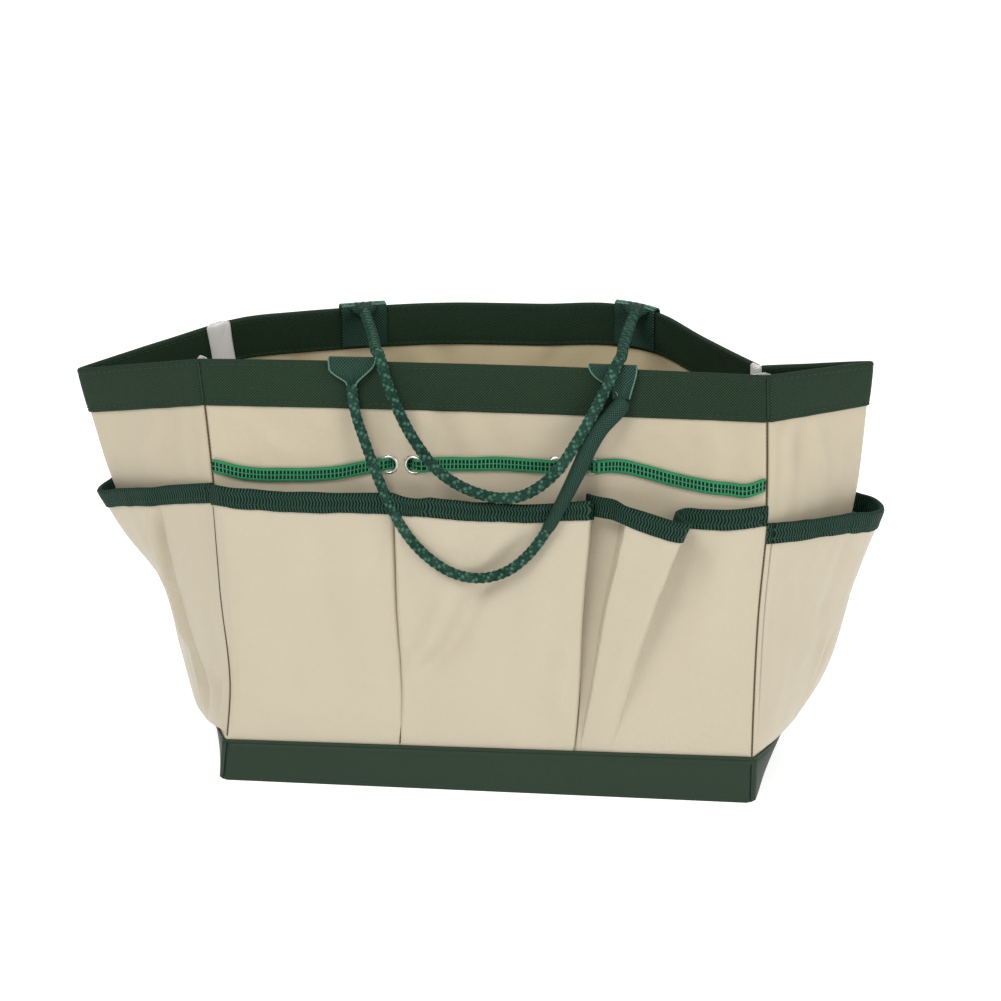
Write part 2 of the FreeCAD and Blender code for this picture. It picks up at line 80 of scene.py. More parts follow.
def smooth(rows, key):
    """Smooth curve through rows of (key, values), straight beyond its ends."""
    rows = np.asarray(rows, float)
    k, y = rows[:, 0], rows[:, 1:]
    key = np.asarray(key, float)
    h = np.diff(k)
    d = np.diff(y, axis=0) / h[:, None]
    slope = np.vstack([d[:1], (h[1:, None] * d[:-1] + h[:-1, None] * d[1:]) / (h[1:] + h[:-1])[:, None], d[-1:]])
    i = np.clip(np.searchsorted(k, key) - 1, 0, len(h) - 1)
    s = ((key - k[i]) / h[i])[..., None]
    inside = np.clip(s, 0, 1)
    a, b, hh = y[i], y[i + 1], h[i][..., None]
    s2, s3 = inside ** 2, inside ** 3
    value = ((2 * s3 - 3 * s2 + 1) * a + (s3 - 2 * s2 + inside) * hh * slope[i]
             + (3 * s2 - 2 * s3) * b + (s3 - s2) * hh * slope[i + 1])
    beyond = np.where(s > 1, (s - 1) * hh * slope[i + 1], np.where(s < 0, s * hh * slope[i], 0))
    return value + beyond


def unit(a):
    return a / np.maximum(np.linalg.norm(a, axis=-1, keepdims=True), 1e-9)


def circle(count):
    return np.linspace(0, 2 * np.pi, count, endpoint=False)


def ripple(u, v, seed, scale, count=12):
    """Soft unevenness about one unit high; scale is its wavelength."""
    rng = np.random.default_rng(seed)
    total = 0
    for _ in range(count):
        a, p = rng.uniform(0, 2 * np.pi, 2)
        k = 2 * np.pi / (scale * rng.uniform(0.6, 1.7))
        total = total + np.sin(k * (u * np.cos(a) + v * np.sin(a)) + p)
    return total / math.sqrt(count)


def strokes(u, v, rows):
    """Sum of creases: (u0, v0, u1, v1, half width, height), fading towards both ends."""
    total = np.zeros(np.broadcast(u, v).shape)
    for u0, v0, u1, v1, width, height in rows:
        du, dv = u1 - u0, v1 - v0
        run = math.hypot(du, dv)
        along = ((u - u0) * du + (v - v0) * dv) / run / run
        across = ((u - u0) * dv - (v - v0) * du) / run
        fade = np.clip(1 - np.abs(2 * along - 1), 0, 1) ** 0.6
        total = total + height * fade * np.exp(-(across / width) ** 2)
    return total


def folds(u, v, rows):
    """Sum of standing folds, each a ridge with a valley beside it. A row is the points (u, v) of its
    line going up, its half width, the ridge's height and the valley's depth."""
    total = np.zeros(np.broadcast(u, v).shape)
    for *line, width, ridge, valley in rows:
        along, up = np.reshape(line, (-1, 2)).T
        centre = np.interp(v, up, along)
        ends = np.clip(np.minimum(v - up[0], up[-1] - v) / 14, 0, 1)
        ends = ends * ends * (3 - 2 * ends)
        total = total + ends * (ridge * np.exp(-((u - centre) / width) ** 2)
                                - valley * np.exp(-((u - centre - 1.7 * width) / width) ** 2))
    return total


# ---------------------------------------------------------------- the wall
def tent(t, soft=0.035):
    """0 at both ends and 1 in the middle, with a slightly rounded tip."""
    s = np.abs(2 * np.asarray(t, float) - 1)
    top = math.sqrt(1 + soft * soft) - soft
    return 1 - (np.sqrt(s * s + soft * soft) - soft) / top


def back_point(t, v):
    rim = smooth(BACK_RIM, t)
    foot = np.stack([mix(HALF, -HALF, t), np.full_like(t, FLOOR), np.zeros_like(t)], -1)
    return mix(foot, rim, (v / WALL)[..., None])


def wall_point(side, t, v):
    t, v = np.broadcast_arrays(np.asarray(t, float), np.asarray(v, float))
    if side == "back":
        return back_point(t, v)
    left, right = smooth(FRONT_LEFT_SEAM, v), smooth(FRONT_RIGHT_SEAM, v)
    if side == "front":
        point = mix(left, right, t[..., None])
        point[..., 2] += 6 * t * (1 - t) * (v / WALL) ** 4
        return point
    if side == "right":
        start, fold, end = right, smooth(RIGHT_FOLD, v), back_point(np.zeros_like(v), v)
    else:
        start, fold, end = back_point(np.ones_like(v), v), smooth(LEFT_FOLD, v), left
    crease = np.sqrt(np.clip(v, 0, None) / WALL)
    swell = mix(4 * t * (1 - t), tent(t), crease)
    return mix(start, end, t[..., None]) + (fold - (start + end) / 2) * swell[..., None]


# Creases of the walls above the pockets: across in mm from the side's first seam, height in mm.
WALL_CREASES = {
    "front": [(118, 212, 114, 150, 5, 1.5), (108, 205, 96, 158, 5, -0.8), (132, 210, 131, 165, 6, -0.9),
              (20, 200, 60, 168, 5, 0.7), (48, 204, 66, 186, 4, -0.7), (206, 205, 222, 160, 7, 0.9),
              (232, 204, 226, 176, 5, -1.0), (252, 206, 284, 186, 6, 0.8), (262, 190, 292, 176, 5, -0.6),
              (160, 200, 190, 178, 8, 0.5), (6, 204, 14, 165, 4, -0.6)],
    "left": [(168, 204, 130, 165, 6, 0.9), (150, 204, 175, 170, 5, -0.7), (120, 200, 108, 160, 8, 0.8),
             (184, 205, 188, 150, 4, -0.5), (60, 200, 30, 120, 7, 0.9), (40, 205, 66, 160, 6, -0.8)],
    "right": [(12, 204, 26, 150, 5, 0.8), (34, 204, 60, 170, 6, 0.7), (22, 196, 44, 168, 5, -0.7),
              (76, 206, 86, 160, 6, -0.6), (130, 200, 170, 120, 8, 0.9), (160, 205, 140, 160, 6, -0.8)],
    "back": [(40, 206, 70, 120, 8, 1.2), (90, 206, 84, 130, 6, -0.9), (150, 204, 140, 120, 8, 0.9),
             (200, 206, 214, 130, 7, -0.8), (250, 206, 240, 120, 8, 1.0), (275, 200, 288, 120, 6, -0.7)]}
# Standing folds: across in mm at the bottom, middle and top (214 mm); height of the bottom and middle;
# half width, height of the ridge and depth of the valley beside it.
WALL_FOLDS = {
    "front": [(104, 112, 118, 150, 176, 6, 1.9, 1.3), (150, 146, 136, 150, 180, 8, 0.9, 0.7),
              (214, 208, 216, 150, 180, 6, 1.2, 1.0), (18, 12, 22, 150, 180, 6, 0.8, 0.6),
              (262, 272, 268, 150, 180, 7, 1.0, 0.8), (60, 72, 64, 150, 185, 9, 0.8, 0.6)],
    "left": [(178, 186, 182, 60, 130, 6, 1.3, 0.9), (150, 146, 162, 90, 150, 8, 1.0, 0.8),
             (120, 126, 120, 110, 170, 7, 0.8, 0.7), (40, 30, 44, 60, 140, 8, 1.1, 0.9)],
    "right": [(20, 14, 22, 60, 130, 6, 1.3, 0.9), (46, 58, 44, 90, 150, 8, 1.1, 0.9),
              (160, 150, 164, 60, 140, 8, 1.1, 0.9)],
    "back": [(60, 66, 58, 150, 180, 8, 1.4, 1.0), (200, 190, 204, 150, 180, 8, 1.2, 1.0),
             (282, 274, 286, 150, 180, 7, 1.0, 0.8), (130, 136, 126, 150, 180, 7, 1.0, 0.8)]}
WIDTHS = {"front": 300.0, "right": 200.0, "back": 330.0, "left": 200.0}


def relief(side, t, v):
    """How far the wall stands off its smooth shape, in mm."""
    u = t * WIDTHS[side]
    seed = 1 + ORDER.index(side)
    free = np.clip((v - 18) / 40, 0, 1) * (1 - 0.75 * np.clip((v - 196) / 14, 0, 1))
    ends = np.clip(np.minimum(t, 1 - t) * WIDTHS[side] / 12, 0, 1)
    soft = 0.6 * ripple(u, v, seed, 62) + 0.1 * ripple(u, v, seed + 10, 21)
    sharp = 0.6 * (0.5 - np.abs(ripple(u, v, seed + 20, 46, 8)))
    lines = strokes(u, v, WALL_CREASES[side]) + folds(u, v, [
        (a, low, b, middle, c, 214, *rest) for a, b, c, low, middle, *rest in WALL_FOLDS[side]])
    fold, dent = 1.0, 0.0
    if side in ("left", "right"):
        fold = np.clip(np.abs(t - 0.5) * WIDTHS[side] / 10, 0.1, 1)
        seam = (1 - t if side == "left" else t) * WIDTHS[side]
        lines = lines + 1.5 * np.exp(-((seam - 4.5) / 3.2) ** 2) * free
    if side == "left":
        dent = -5.0 * np.exp(-((v - 93) / 27) ** 2 - ((u - 100) / 34) ** 2)
    calm = mix(0.3, 1.0, np.clip((v - 164) / 16, 0, 1))
    return dent + calm * ((soft + sharp) * free * ends * fold + lines * np.clip(ends, 0.2, 1))


def spread(count, fold=False):
    """Shares along a side, closer together at its seams and at a gusset's fold."""
    near = [0.0015, 0.004, 0.008, 0.014, 0.022]
    t = set(np.round(np.linspace(0, 1, count), 5)) | set(near) | {1 - x for x in near}
    if fold:
        t |= {0.5 + s * x for x in (0.004, 0.01, 0.017, 0.026, 0.038) for s in (-1, 1)}
    return np.array(sorted(t))


SHARES = {"front": spread(131), "right": spread(85, True), "back": spread(141), "left": spread(85, True)}
HEIGHTS = np.concatenate([np.linspace(0, 206, 84), np.linspace(208, 232, 11), [233.6, 235.5]])


def build_walls():
    """Points and outward directions of all four sides, as one closed loop of columns."""
    grids = {side: np.meshgrid(SHARES[side][:-1], HEIGHTS, indexing="ij") for side in ORDER}
    p = np.concatenate([wall_point(side, *grid) for side, grid in grids.items()])
    for _ in range(3):     # the seams and folds are bends, not knife edges
        p[:, 1:] = 0.5 * p[:, 1:] + 0.25 * (np.roll(p, 1, 0) + np.roll(p, -1, 0))[:, 1:]

    def outward(p):
        run = unit(np.roll(p, -1, 0) - p) + unit(p - np.roll(p, 1, 0))
        n = unit(np.cross(run, np.gradient(p, axis=1)))
        n[:, 0, 2] = 0
        return unit(n)

    lift = np.concatenate([relief(side, *grid) for side, grid in grids.items()])
    p = p + outward(p) * lift[..., None]
    n = outward(p)
    walls, start = {}, 0
    for side in ORDER:
        index = (start + np.arange(len(SHARES[side]))) % len(p)
        walls[side] = (p[index], n[index])
        start += len(SHARES[side]) - 1
    return walls


WALLS = build_walls()


def sample(grid, a, b):
    """Value of a grid at fractional places a, b, straight between its points."""
    i = np.clip(a.astype(int), 0, grid.shape[0] - 2)
    j = np.clip(b.astype(int), 0, grid.shape[1] - 2)
    f, g = (a - i)[..., None], (b - j)[..., None]
    return mix(mix(grid[i, j], grid[i + 1, j], f), mix(grid[i, j + 1], grid[i + 1, j + 1], f), g)


def on_wall(side, t, v, offset):
    t, v = np.broadcast_arrays(np.asarray(t, float), np.asarray(v, float))
    a = np.interp(t, SHARES[side], np.arange(len(SHARES[side])))
    b = np.interp(v, HEIGHTS, np.arange(len(HEIGHTS)))
    points, normals = WALLS[side]
    return sample(points, a, b) + unit(sample(normals, a, b)) * np.asarray(offset, float)[..., None]


def share_at(side, x, v):
    """Share of the front or back where the wall stands at this x."""
    row = on_wall(side, SHARES[side], v, 0)[:, 0]
    if row[0] > row[-1]:
        return np.interp(x, row[::-1], SHARES[side][::-1])
    return np.interp(x, row, SHARES[side])


# ---------------------------------------------------------------- meshes
MATERIALS = {}


def linked(name, data):
    obj = bpy.data.objects.new(name, data)
    bpy.context.scene.collection.objects.link(obj)
    return obj


def add_mesh(name, points, faces, uv=None, material=None):
    mesh = bpy.data.meshes.new(name)
    mesh.from_pydata((np.asarray(points) / 1000).tolist(), [], [list(map(int, f)) for f in faces])
    if uv is not None:
        layer = mesh.uv_layers.new(name="Weave")
        index = np.zeros(len(mesh.loops), int)
        mesh.loops.foreach_get("vertex_index", index)
        layer.data.foreach_set("uv", (np.asarray(uv)[index] / 1000).astype(np.float32).ravel())
    mesh.shade_smooth()
    mesh.update()
    if material:
        mesh.materials.append(MATERIALS[material])
    return linked(name, mesh)


def quads(rows, columns, start=0, flip=False, wrap=False):
    """Faces of a grid of points; wrap joins its last row to the first."""
    j, k = np.meshgrid(np.arange(rows if wrap else rows - 1), np.arange(columns - 1), indexing="ij")
    a = start + j * columns + k
    b = start + ((j + 1) % rows) * columns + k
    f = np.stack([a, b, b + 1, a + 1], -1).reshape(-1, 4)
    return f[:, ::-1] if flip else f


def hoops(rows, sides):
    """Faces between rings of points that follow each other."""
    j, i = np.meshgrid(np.arange(rows - 1), np.arange(sides), indexing="ij")
    a, b = j * sides + i, j * sides + (i + 1) % sides
    return np.stack([a, b, b + sides, a + sides], -1).reshape(-1, 4)


def rod(rows, turned=1):
    """Faces of a closed rod of eight-sided rings; turned is -1 where the rings run the other way."""
    faces = [hoops(rows, 8)[:, ::turned]]
    for base, way in ((0, -turned), ((rows - 1) * 8, turned)):
        faces.append((base + np.arange(8)[::way])[[[0, 1, 2, 3], [0, 3, 4, 7], [4, 5, 6, 7]]])
    return np.concatenate(faces)


def oval(centre, side, up, turn, wide, high):
    """A ring of points about each centre, wide along side and high along up."""
    return (centre[:, None] + side[:, None] * (wide * np.cos(turn))[..., None]
            + up[:, None] * (high * np.sin(turn))[..., None])


def merged(parts):
    """Points and faces of several (points, faces) as one mesh."""
    starts = np.cumsum([0] + [len(points) for points, _ in parts])
    return (np.concatenate([points for points, _ in parts]),
            np.concatenate([faces + start for (_, faces), start in zip(parts, starts)]))


def shell(name, outer, inner, uv, material, replaces=(), slot=None, body="bag"):
    """Closed sheet of cloth between two grids of points, with rounded edges."""
    rows, columns = outer.shape[:2]
    size = rows * columns
    index = np.arange(size).reshape(rows, columns)
    loop = np.concatenate([index[:-1, 0], index[-1, :-1], index[:0:-1, -1], index[0, :0:-1]])
    behind = np.concatenate([index[:-1, 1], index[-2, :-1], index[:0:-1, -2], index[1, :0:-1]])
    outer, inner, uv = outer.reshape(-1, 3), inner.reshape(-1, 3), uv.reshape(-1, 2)
    away = unit((outer[loop] - outer[behind]) + (inner[loop] - inner[behind]))
    thick = np.linalg.norm(outer[loop] - inner[loop], axis=1, keepdims=True)
    middle = (outer[loop] + inner[loop]) / 2 + away * thick * EDGE_ROUNDING
    here = 2 * size + np.arange(len(loop))
    ahead, after = np.roll(loop, -1), np.roll(here, -1)
    faces = [quads(rows, columns), quads(rows, columns, size, True), np.stack([loop, here, after, ahead], -1),
             np.stack([here, size + loop, size + ahead, after], -1)]
    obj = add_mesh(name, np.concatenate([outer, inner, middle]), np.concatenate(faces),
                   np.concatenate([uv, uv, uv[loop]]), material)
    return settle(obj, replaces, body)


def settle(obj, replaces=(), body="bag"):
    if body:
        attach(obj, body)
    if replaces:
        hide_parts(*replaces)
    return obj


def along_length(points):
    """Distance along a line of points."""
    return np.concatenate([[0], np.cumsum(np.linalg.norm(np.diff(points, axis=0), axis=1))])


def places(line, run, at):
    """Places at the distances at, on a line whose own points lie at the distances run."""
    return np.stack([np.interp(at, run, column) for column in line.T], -1)


def grid_uv(points):
    """Weave coordinates in mm: along the rows and up the columns of a grid."""
    middle = points[:, points.shape[1] // 2]
    u = np.repeat(along_length(middle)[:, None], points.shape[1], 1)
    v = np.repeat(along_length(points[points.shape[0] // 2])[None], points.shape[0], 0)
    return np.stack([u, v], -1)


def layer(name, side, outer, inner, material, node, taller=(1.0, 1.0)):
    """Cloth on the wall, drawn in at its seams; outer and inner are rows of (height, offset)."""
    grids = []
    for rows, drawn in ((outer, SEAM_DRAW), (inner, 0)):
        v, o = np.array(rows, float).T
        t = np.repeat(SHARES[side][:, None], len(v), 1)
        seam = np.exp(-(np.minimum(t, 1 - t) * WIDTHS[side] / 0.7) ** 2)
        grids.append(on_wall(side, t, v * mix(*taller, t), o - drawn * seam * np.sign(o - FABRIC / 2)))
    return shell(name, *grids, grid_uv(grids[0]), material, (node,))


# ---------------------------------------------------------------- materials
class Cloth:
    """A node material made step by step."""

    def __init__(self, name, rough, spec=0.5, sheen=0.0, metal=0.0, coat=0.0):
        self.mat = bpy.data.materials.new(name)
        self.mat.use_nodes = True
        self.shader = self.mat.node_tree.nodes["Principled BSDF"]
        self.put(self.shader, {"Roughness": rough, "Specular IOR Level": spec, "Sheen Weight": sheen,
                               "Sheen Roughness": 0.45, "Metallic": metal, "Coat Weight": coat,
                               "Coat Roughness": 0.35})
        MATERIALS[name] = self.mat

    def put(self, node, inputs):
        """Sets inputs, by name or number, to values or to other nodes' outputs."""
        for key, value in inputs.items():
            if isinstance(value, bpy.types.NodeSocket):
                self.mat.node_tree.links.new(value, node.inputs[key])
            else:
                node.inputs[key].default_value = value

    def node(self, kind, inputs, **settings):
        """The outputs of a new node."""
        node = self.mat.node_tree.nodes.new("ShaderNode" + kind)
        for key, value in settings.items():
            setattr(node, key, value)
        self.put(node, inputs)
        return node.outputs

    def math(self, kind, a, b=0.0, *c):
        return self.node("Math", dict(enumerate((a, b, *c))), operation=kind)[0]

    def add(self, a, b):
        return self.math("ADD", a, b)

    def mul(self, a, b):
        return self.math("MULTIPLY", a, b)

    def mul_add(self, a, b, c):
        return self.math("MULTIPLY_ADD", a, b, c)

    def sine(self, value, period):
        """Sine of a length in metres with that period in mm."""
        return self.math("SINE", self.mul(value, 2 * math.pi / (period / 1000)))

    def weave_uv(self):
        return self.node("SeparateXYZ", {0: self.node("UVMap", {}, uv_map="Weave")[0]})[:2]

    def noise(self, scale, detail=3.0, rough=0.55, stretch=None):
        where = self.node("TexCoord", {})["Object"]
        if stretch:
            where = self.node("Mapping", {"Scale": stretch, "Vector": where})[0]
        return self.node("TexNoise", {"Scale": scale, "Detail": detail, "Roughness": rough, "Vector": where})["Fac"]

    def blend(self, factor, *colours):
        """A colour between two; inputs 6 and 7 and output 2 of a mix node are its colours."""
        a, b = [c if isinstance(c, bpy.types.NodeSocket) else (*c, 1.0) for c in colours]
        return self.node("Mix", {0: factor, 6: a, 7: b}, data_type="RGBA")[2]

    def finish(self, colour, height, distance, rough=None):
        bump = self.node("Bump", {"Distance": distance / 1000, "Height": height})[0]
        self.put(self.shader, {"Base Color": colour, "Normal": bump})
        if rough:
            self.put(self.shader, {"Roughness": rough})


def pattern(cloth, kind, pitch):
    """Height of the yarns of a plain, twill or herringbone weave."""
    u, v = cloth.weave_uv()
    if kind == "plain":
        return cloth.mul(cloth.sine(u, 2 * pitch), cloth.sine(v, 2 * pitch))
    if kind == "twill":
        return cloth.sine(cloth.add(u, cloth.mul(v, 0.8)), pitch)
    way = cloth.math("SIGN", cloth.sine(v, HERRINGBONE))
    slant = cloth.sine(cloth.add(u, cloth.mul(way, cloth.mul(v, 0.32))), pitch)
    return cloth.add(cloth.mul(slant, 0.75), cloth.mul(cloth.sine(u, pitch), 0.25))


def make_cloth(name, dark, light, kind, pitch, bump, rough, spec, weave, blotch=0.8, sheen=0.0, coat=0.0,
               blotch_scale=14.0):
    """A woven cloth that varies between a dark and a light colour."""
    cloth = Cloth(name, rough, spec, sheen, coat=coat)
    yarn = pattern(cloth, kind, pitch)
    large = cloth.math("SUBTRACT", cloth.noise(blotch_scale, 4.0), 0.5)
    small = cloth.math("SUBTRACT", cloth.noise(900.0, 2.0, 0.7), 0.5)
    factor = cloth.mul_add(small, 0.35, cloth.mul_add(large, blotch, cloth.mul_add(yarn, weave, 0.5)))
    height = cloth.mul_add(small, 0.5, yarn)
    roughness = cloth.mul_add(large, 0.25, rough)
    cloth.finish(cloth.blend(factor, dark, light), height, bump, rough=roughness)


def make_plain(name, rough, spec, noise, dark, light, bump, shine=None, **more):
    """A material speckled by one noise, which also makes its bumps; shine is (share, base) of
    a roughness that follows the same noise."""
    cloth = Cloth(name, rough, spec, **more)
    speck = cloth.noise(*noise)
    colour = cloth.blend(speck, dark, light)
    cloth.finish(colour, speck, bump, rough=shine and cloth.mul_add(speck, *shine))
    return cloth


def make_materials():
    make_cloth("panel_fabric", (0.42, 0.36, 0.25), (0.52, 0.455, 0.33), "plain", 0.55, 0.05, 0.46, 0.45,
               0.16, 0.5, 0.08, 0.12)
    make_cloth("lining", (0.50, 0.42, 0.255), (0.60, 0.51, 0.33), "plain", 0.55, 0.05, 0.55, 0.35, 0.18)
    make_cloth("pocket_fabric", (0.435, 0.38, 0.275), (0.535, 0.475, 0.355), "plain", 0.55, 0.045, 0.48, 0.42,
               0.14, 0.5, 0.08, 0.10)
    make_cloth("band_fabric", (0.003, 0.010, 0.0045), (0.021, 0.050, 0.023), "plain", 0.8, 0.14, 0.55, 0.14,
               1.1, 0.45)
    make_cloth("base_fabric", (0.012, 0.028, 0.014), (0.021, 0.041, 0.022), "plain", 0.45, 0.03, 0.5, 0.2,
               0.10, 0.6, blotch_scale=9.0)
    make_cloth("binding_tape", (0.001, 0.006, 0.004), (0.024, 0.070, 0.047), "herringbone", 1.7, 0.3, 0.6, 0.1,
               1.15, 0.3)
    make_cloth("webbing", (0.001, 0.007, 0.005), (0.028, 0.082, 0.057), "plain", 0.85, 0.2, 0.5, 0.15, 0.75, 0.4)
    make_cloth("seam_tape", (0.60, 0.58, 0.54), (0.90, 0.89, 0.86), "twill", 1.2, 0.08, 0.75, 0.25, 0.45, 0.3, 0.2)
    make_rope()
    make_plain("thread_green", 0.5, 0.4, (2500.0, 2.0), (0.004, 0.016, 0.009), (0.012, 0.036, 0.020), 0.05)
    # Dark brown of the cords at the corners and between the pockets: painted shade of those folds.
    make_plain("shade_cord_brown", 0.6, 0.2, (2500.0, 2.0), (0.055, 0.036, 0.016), (0.11, 0.078, 0.040), 0.05)
    make_plain("eyelet_metal", 0.32, 0.5, (400.0, 4.0, 0.6, (1, 1, 6)), (0.72, 0.70, 0.66), (0.90, 0.88, 0.84),
               0.01, (0.2, 0.22), metal=1.0)
    make_plain("board", 0.6, 0.4, (500.0, 5.0, 0.7), (0.05, 0.05, 0.05), (0.11, 0.11, 0.105), 0.06)
    make_plain("rope_light", 0.45, 0.5, (1400.0, 2.0, 0.6), (0.02, 0.085, 0.06), (0.10, 0.24, 0.17), 0.12,
               sheen=0.15)
    make_elastic()


def make_rope():
    """Braided rope: pale on the crest of each strand, where it passes over the others and faces out; that paleness
    is painted highlight, partly lighter fibres.
    """
    rope = Cloth("rope", 0.72, 0.06)
    fibre = rope.math("SUBTRACT", rope.noise(1400.0, 2.0, 0.6), 0.5)
    shade = rope.math("SUBTRACT", rope.noise(60.0, 3.0), 0.5)
    along, outward = rope.weave_uv()
    over = rope.math("MAXIMUM", rope.math("COSINE", rope.mul(along, 2 * math.pi * STRANDS / LEAD * 1000)), 0.0)
    # Paler where a strand lies over the others and faces out: painted highlight, partly lighter fibres.
    crest = rope.mul(rope.math("POWER", over, 1.7), rope.math("POWER", outward, 6.0))
    factor = rope.mul_add(shade, 0.4, rope.mul_add(fibre, 0.4, 0.13))
    factor = rope.mul_add(crest, 0.5, factor)
    rope.finish(rope.blend(factor, (0.003, 0.020, 0.012), (0.11, 0.25, 0.18)), fibre, 0.12)


def make_elastic():
    """Green woven elastic with two rows of black and pale squares."""
    cloth = Cloth("elastic", 0.5, 0.15)
    u, v = cloth.weave_uv()
    square = cloth.math("GREATER_THAN", cloth.sine(u, 2.04), -0.5)
    rows = [cloth.math("LESS_THAN", cloth.math("ABSOLUTE", cloth.math("SUBTRACT", v, at)), 0.00102)
            for at in (0.0022, 0.0048)]
    row = cloth.math("MAXIMUM", *rows)
    cords, fine = cloth.sine(v, 0.8), cloth.sine(u, 0.5)
    green = cloth.blend(cloth.mul_add(cords, 0.35, cloth.mul_add(fine, 0.1, 0.5)),
                        (0.010, 0.15, 0.055), (0.030, 0.31, 0.12))
    marks = cloth.blend(square, (0.05, 0.27, 0.13), (0.003, 0.008, 0.006))
    height = cloth.add(cloth.mul(cords, 0.5), cloth.mul(fine, 0.5))
    cloth.finish(cloth.blend(row, green, marks), height, 0.1)


# ---------------------------------------------------------------- stitches
def stitch_row(line, out, length, gap, radius=0.26, sink=0.05):
    """Points and faces of the stitches along one line with its outward directions."""
    run = along_length(line)
    count = int(run[-1] // (length + gap))
    at = (np.arange(count) + 0.5) * run[-1] / count
    ends = [places(line, run, at + d) for d in (-0.3, 0.3)]
    centre, way = (ends[0] + ends[1]) / 2, unit(ends[1] - ends[0])
    side = unit(np.cross(way, unit(places(out, run, at))))
    up = np.cross(side, way)
    profile = [(-0.5, 0.25, -0.25), (-0.36, 0.85, 0.25), (0.0, 1.0, 0.45), (0.36, 0.85, 0.25), (0.5, 0.25, -0.25)]
    block = np.stack([oval(centre + way * x * length + up * (lift * radius - sink), side, up, circle(6),
                           radius * size, 0.8 * radius * size) for x, size, lift in profile], 1)
    one = np.concatenate([hoops(5, 6), [[5, 4, 3, 2], [5, 2, 1, 0], [24, 25, 26, 27], [24, 27, 28, 29]]])
    return block.reshape(-1, 3), (one[:, None] + np.arange(count)[:, None] * 30).reshape(-1, 4)


def stitches(name, lines, length=2.7, gap=1.1):
    points, faces = merged([stitch_row(*line, length, gap) for line in lines])
    settle(add_mesh(name, points, faces, material="thread_green"))


def wall_line(side, v, offset):
    """Line along a side at height v with its outward directions."""
    t = np.linspace(0.004, 0.996, int(WIDTHS[side] / 2))
    line = on_wall(side, t, v, offset)
    return line, unit(line - on_wall(side, t, v, offset - math.copysign(1.0, offset)))


# ---------------------------------------------------------------- panels, bands, bindings
HOLE = 4.45     # radius of the holes for the eyelets
EYELETS = {"front": [(-54.5, 177.6), (-40.5, 178.4), (36.5, 180.2), (54.5, 180.8)],
           "back": [(-60.5, 180.0), (-45.5, 180.0), (31.0, 180.0), (48.5, 180.0)]}


def eyelet_frames(side):
    """For each eyelet its place on the wall, and the directions out, along and up the wall."""
    frames = []
    for x, v in EYELETS[side]:
        t = share_at(side, x, v)
        here = on_wall(side, t, v, 0)
        along, out = unit(on_wall(side, t + 0.004, v, 0) - here), unit(on_wall(side, t, v, 1) - here)
        up = unit(np.cross(out, along))
        frames.append((here, out, np.cross(up, out), up))
    return frames


def punch(obj, side):
    """Cuts the eyelet holes: points near a hole's edge move onto it, and what is inside goes."""
    mesh = obj.data
    co = np.zeros(len(mesh.vertices) * 3)
    mesh.vertices.foreach_get("co", co)
    co = co.reshape(-1, 3) * 1000
    inside = np.zeros(len(co), bool)
    for origin, out, *_ in eyelet_frames(side):
        d = co - origin
        height = d @ out
        flat = d - height[:, None] * out
        r = np.linalg.norm(flat, axis=1)
        near = (np.abs(height) < 6) & (r < HOLE + 1.1)
        edge = near & (r > HOLE - 1.35)
        co[edge] = origin + height[edge, None] * out + flat[edge] / r[edge, None] * HOLE
        inside |= near & (r <= HOLE - 1.35)
    mesh.vertices.foreach_set("co", (co / 1000).ravel())
    bm = bmesh.new()
    bm.from_mesh(mesh)
    bm.verts.ensure_lookup_table()
    bmesh.ops.delete(bm, geom=[bm.verts[i] for i in np.where(inside)[0]], context="VERTS")
    bm.to_mesh(mesh)
    bm.free()


def panels():
    rows = np.linspace(0, WALL, 105)
    for side, node in (("front", "front_panel"), ("right", "right_gusset"), ("back", "back_panel"),
                       ("left", "left_gusset")):
        obj = layer(node + "_cloth", side, [(v, FABRIC) for v in rows], [(v, 0.0) for v in rows],
                    "panel_fabric", node)
        obj.data.materials.append(MATERIALS["lining"])
        count = (len(SHARES[side]) - 1) * (len(rows) - 1)
        for polygon in obj.data.polygons[count:2 * count]:
            polygon.material_index = 1
        if side in EYELETS:
            punch(obj, side)


def bands():
    low, on = FABRIC + POCKET + 2 * GAP, FABRIC + GAP
    over, under = on + BAND, -GAP - BAND
    for side in ORDER:
        rows = [0, 0.6, 1.5, 4, 7, 10, 13, 16, 19.6, 20.0, 20.3, 20.6, 21.0, 21.6, 22]
        puff = [0, 0, 0, 0.05, 0.1, 0.1, 0.1, 0.05, 0.0, -0.45, -0.6, -0.1, 0.25, 0.2, 0]
        layer(side + "_base_band_cloth", side, [(v, low + BAND + p) for v, p in zip(rows, puff)],
              [(v, low) for v in rows], "base_fabric", side + "_base_band",
              {"front": (1.02, 1.14), "right": (1.14, 1.0)}.get(side, (1.0, 1.02)))
        edge = 209 if side == "back" else 208
        rise = [edge, edge + 0.6, edge + 1.2, edge + 2, 212, 214.5, 218, 222, 226, 229, 230.6, 231.6]
        puff = [-0.1, 0.1, 0.02, -0.12, 0.08, 0.15, 0.18, 0.18, 0.12, 0.08, -0.1, 0.05]
        wrap = [(v, over + p) for v, p in zip(rise, puff)]
        wrap += [(232.6, over - 0.15), (233.2, 1.75), (233.45, 0.6), (233.2, -0.55), (232.6, under + 0.15)]
        wrap += [(v, under - p) for v, p in zip(rise[::-1], puff[::-1])]
        lining = [(v, on) for v in rise] + [(232.05, on - 0.1), (232.15, 1.0), (232.2, 0.6), (232.15, 0.1),
                                            (232.05, -GAP + 0.05)] + [(v, -GAP) for v in rise[::-1]]
        layer(side + "_top_band_cloth", side, wrap, lining, "band_fabric", side + "_top_band")
    stitches("band_stitches", [wall_line(side, v, o) for o in (over - 0.02, under + 0.02) for side in ORDER
                               for v in (210.6, 230.7)])


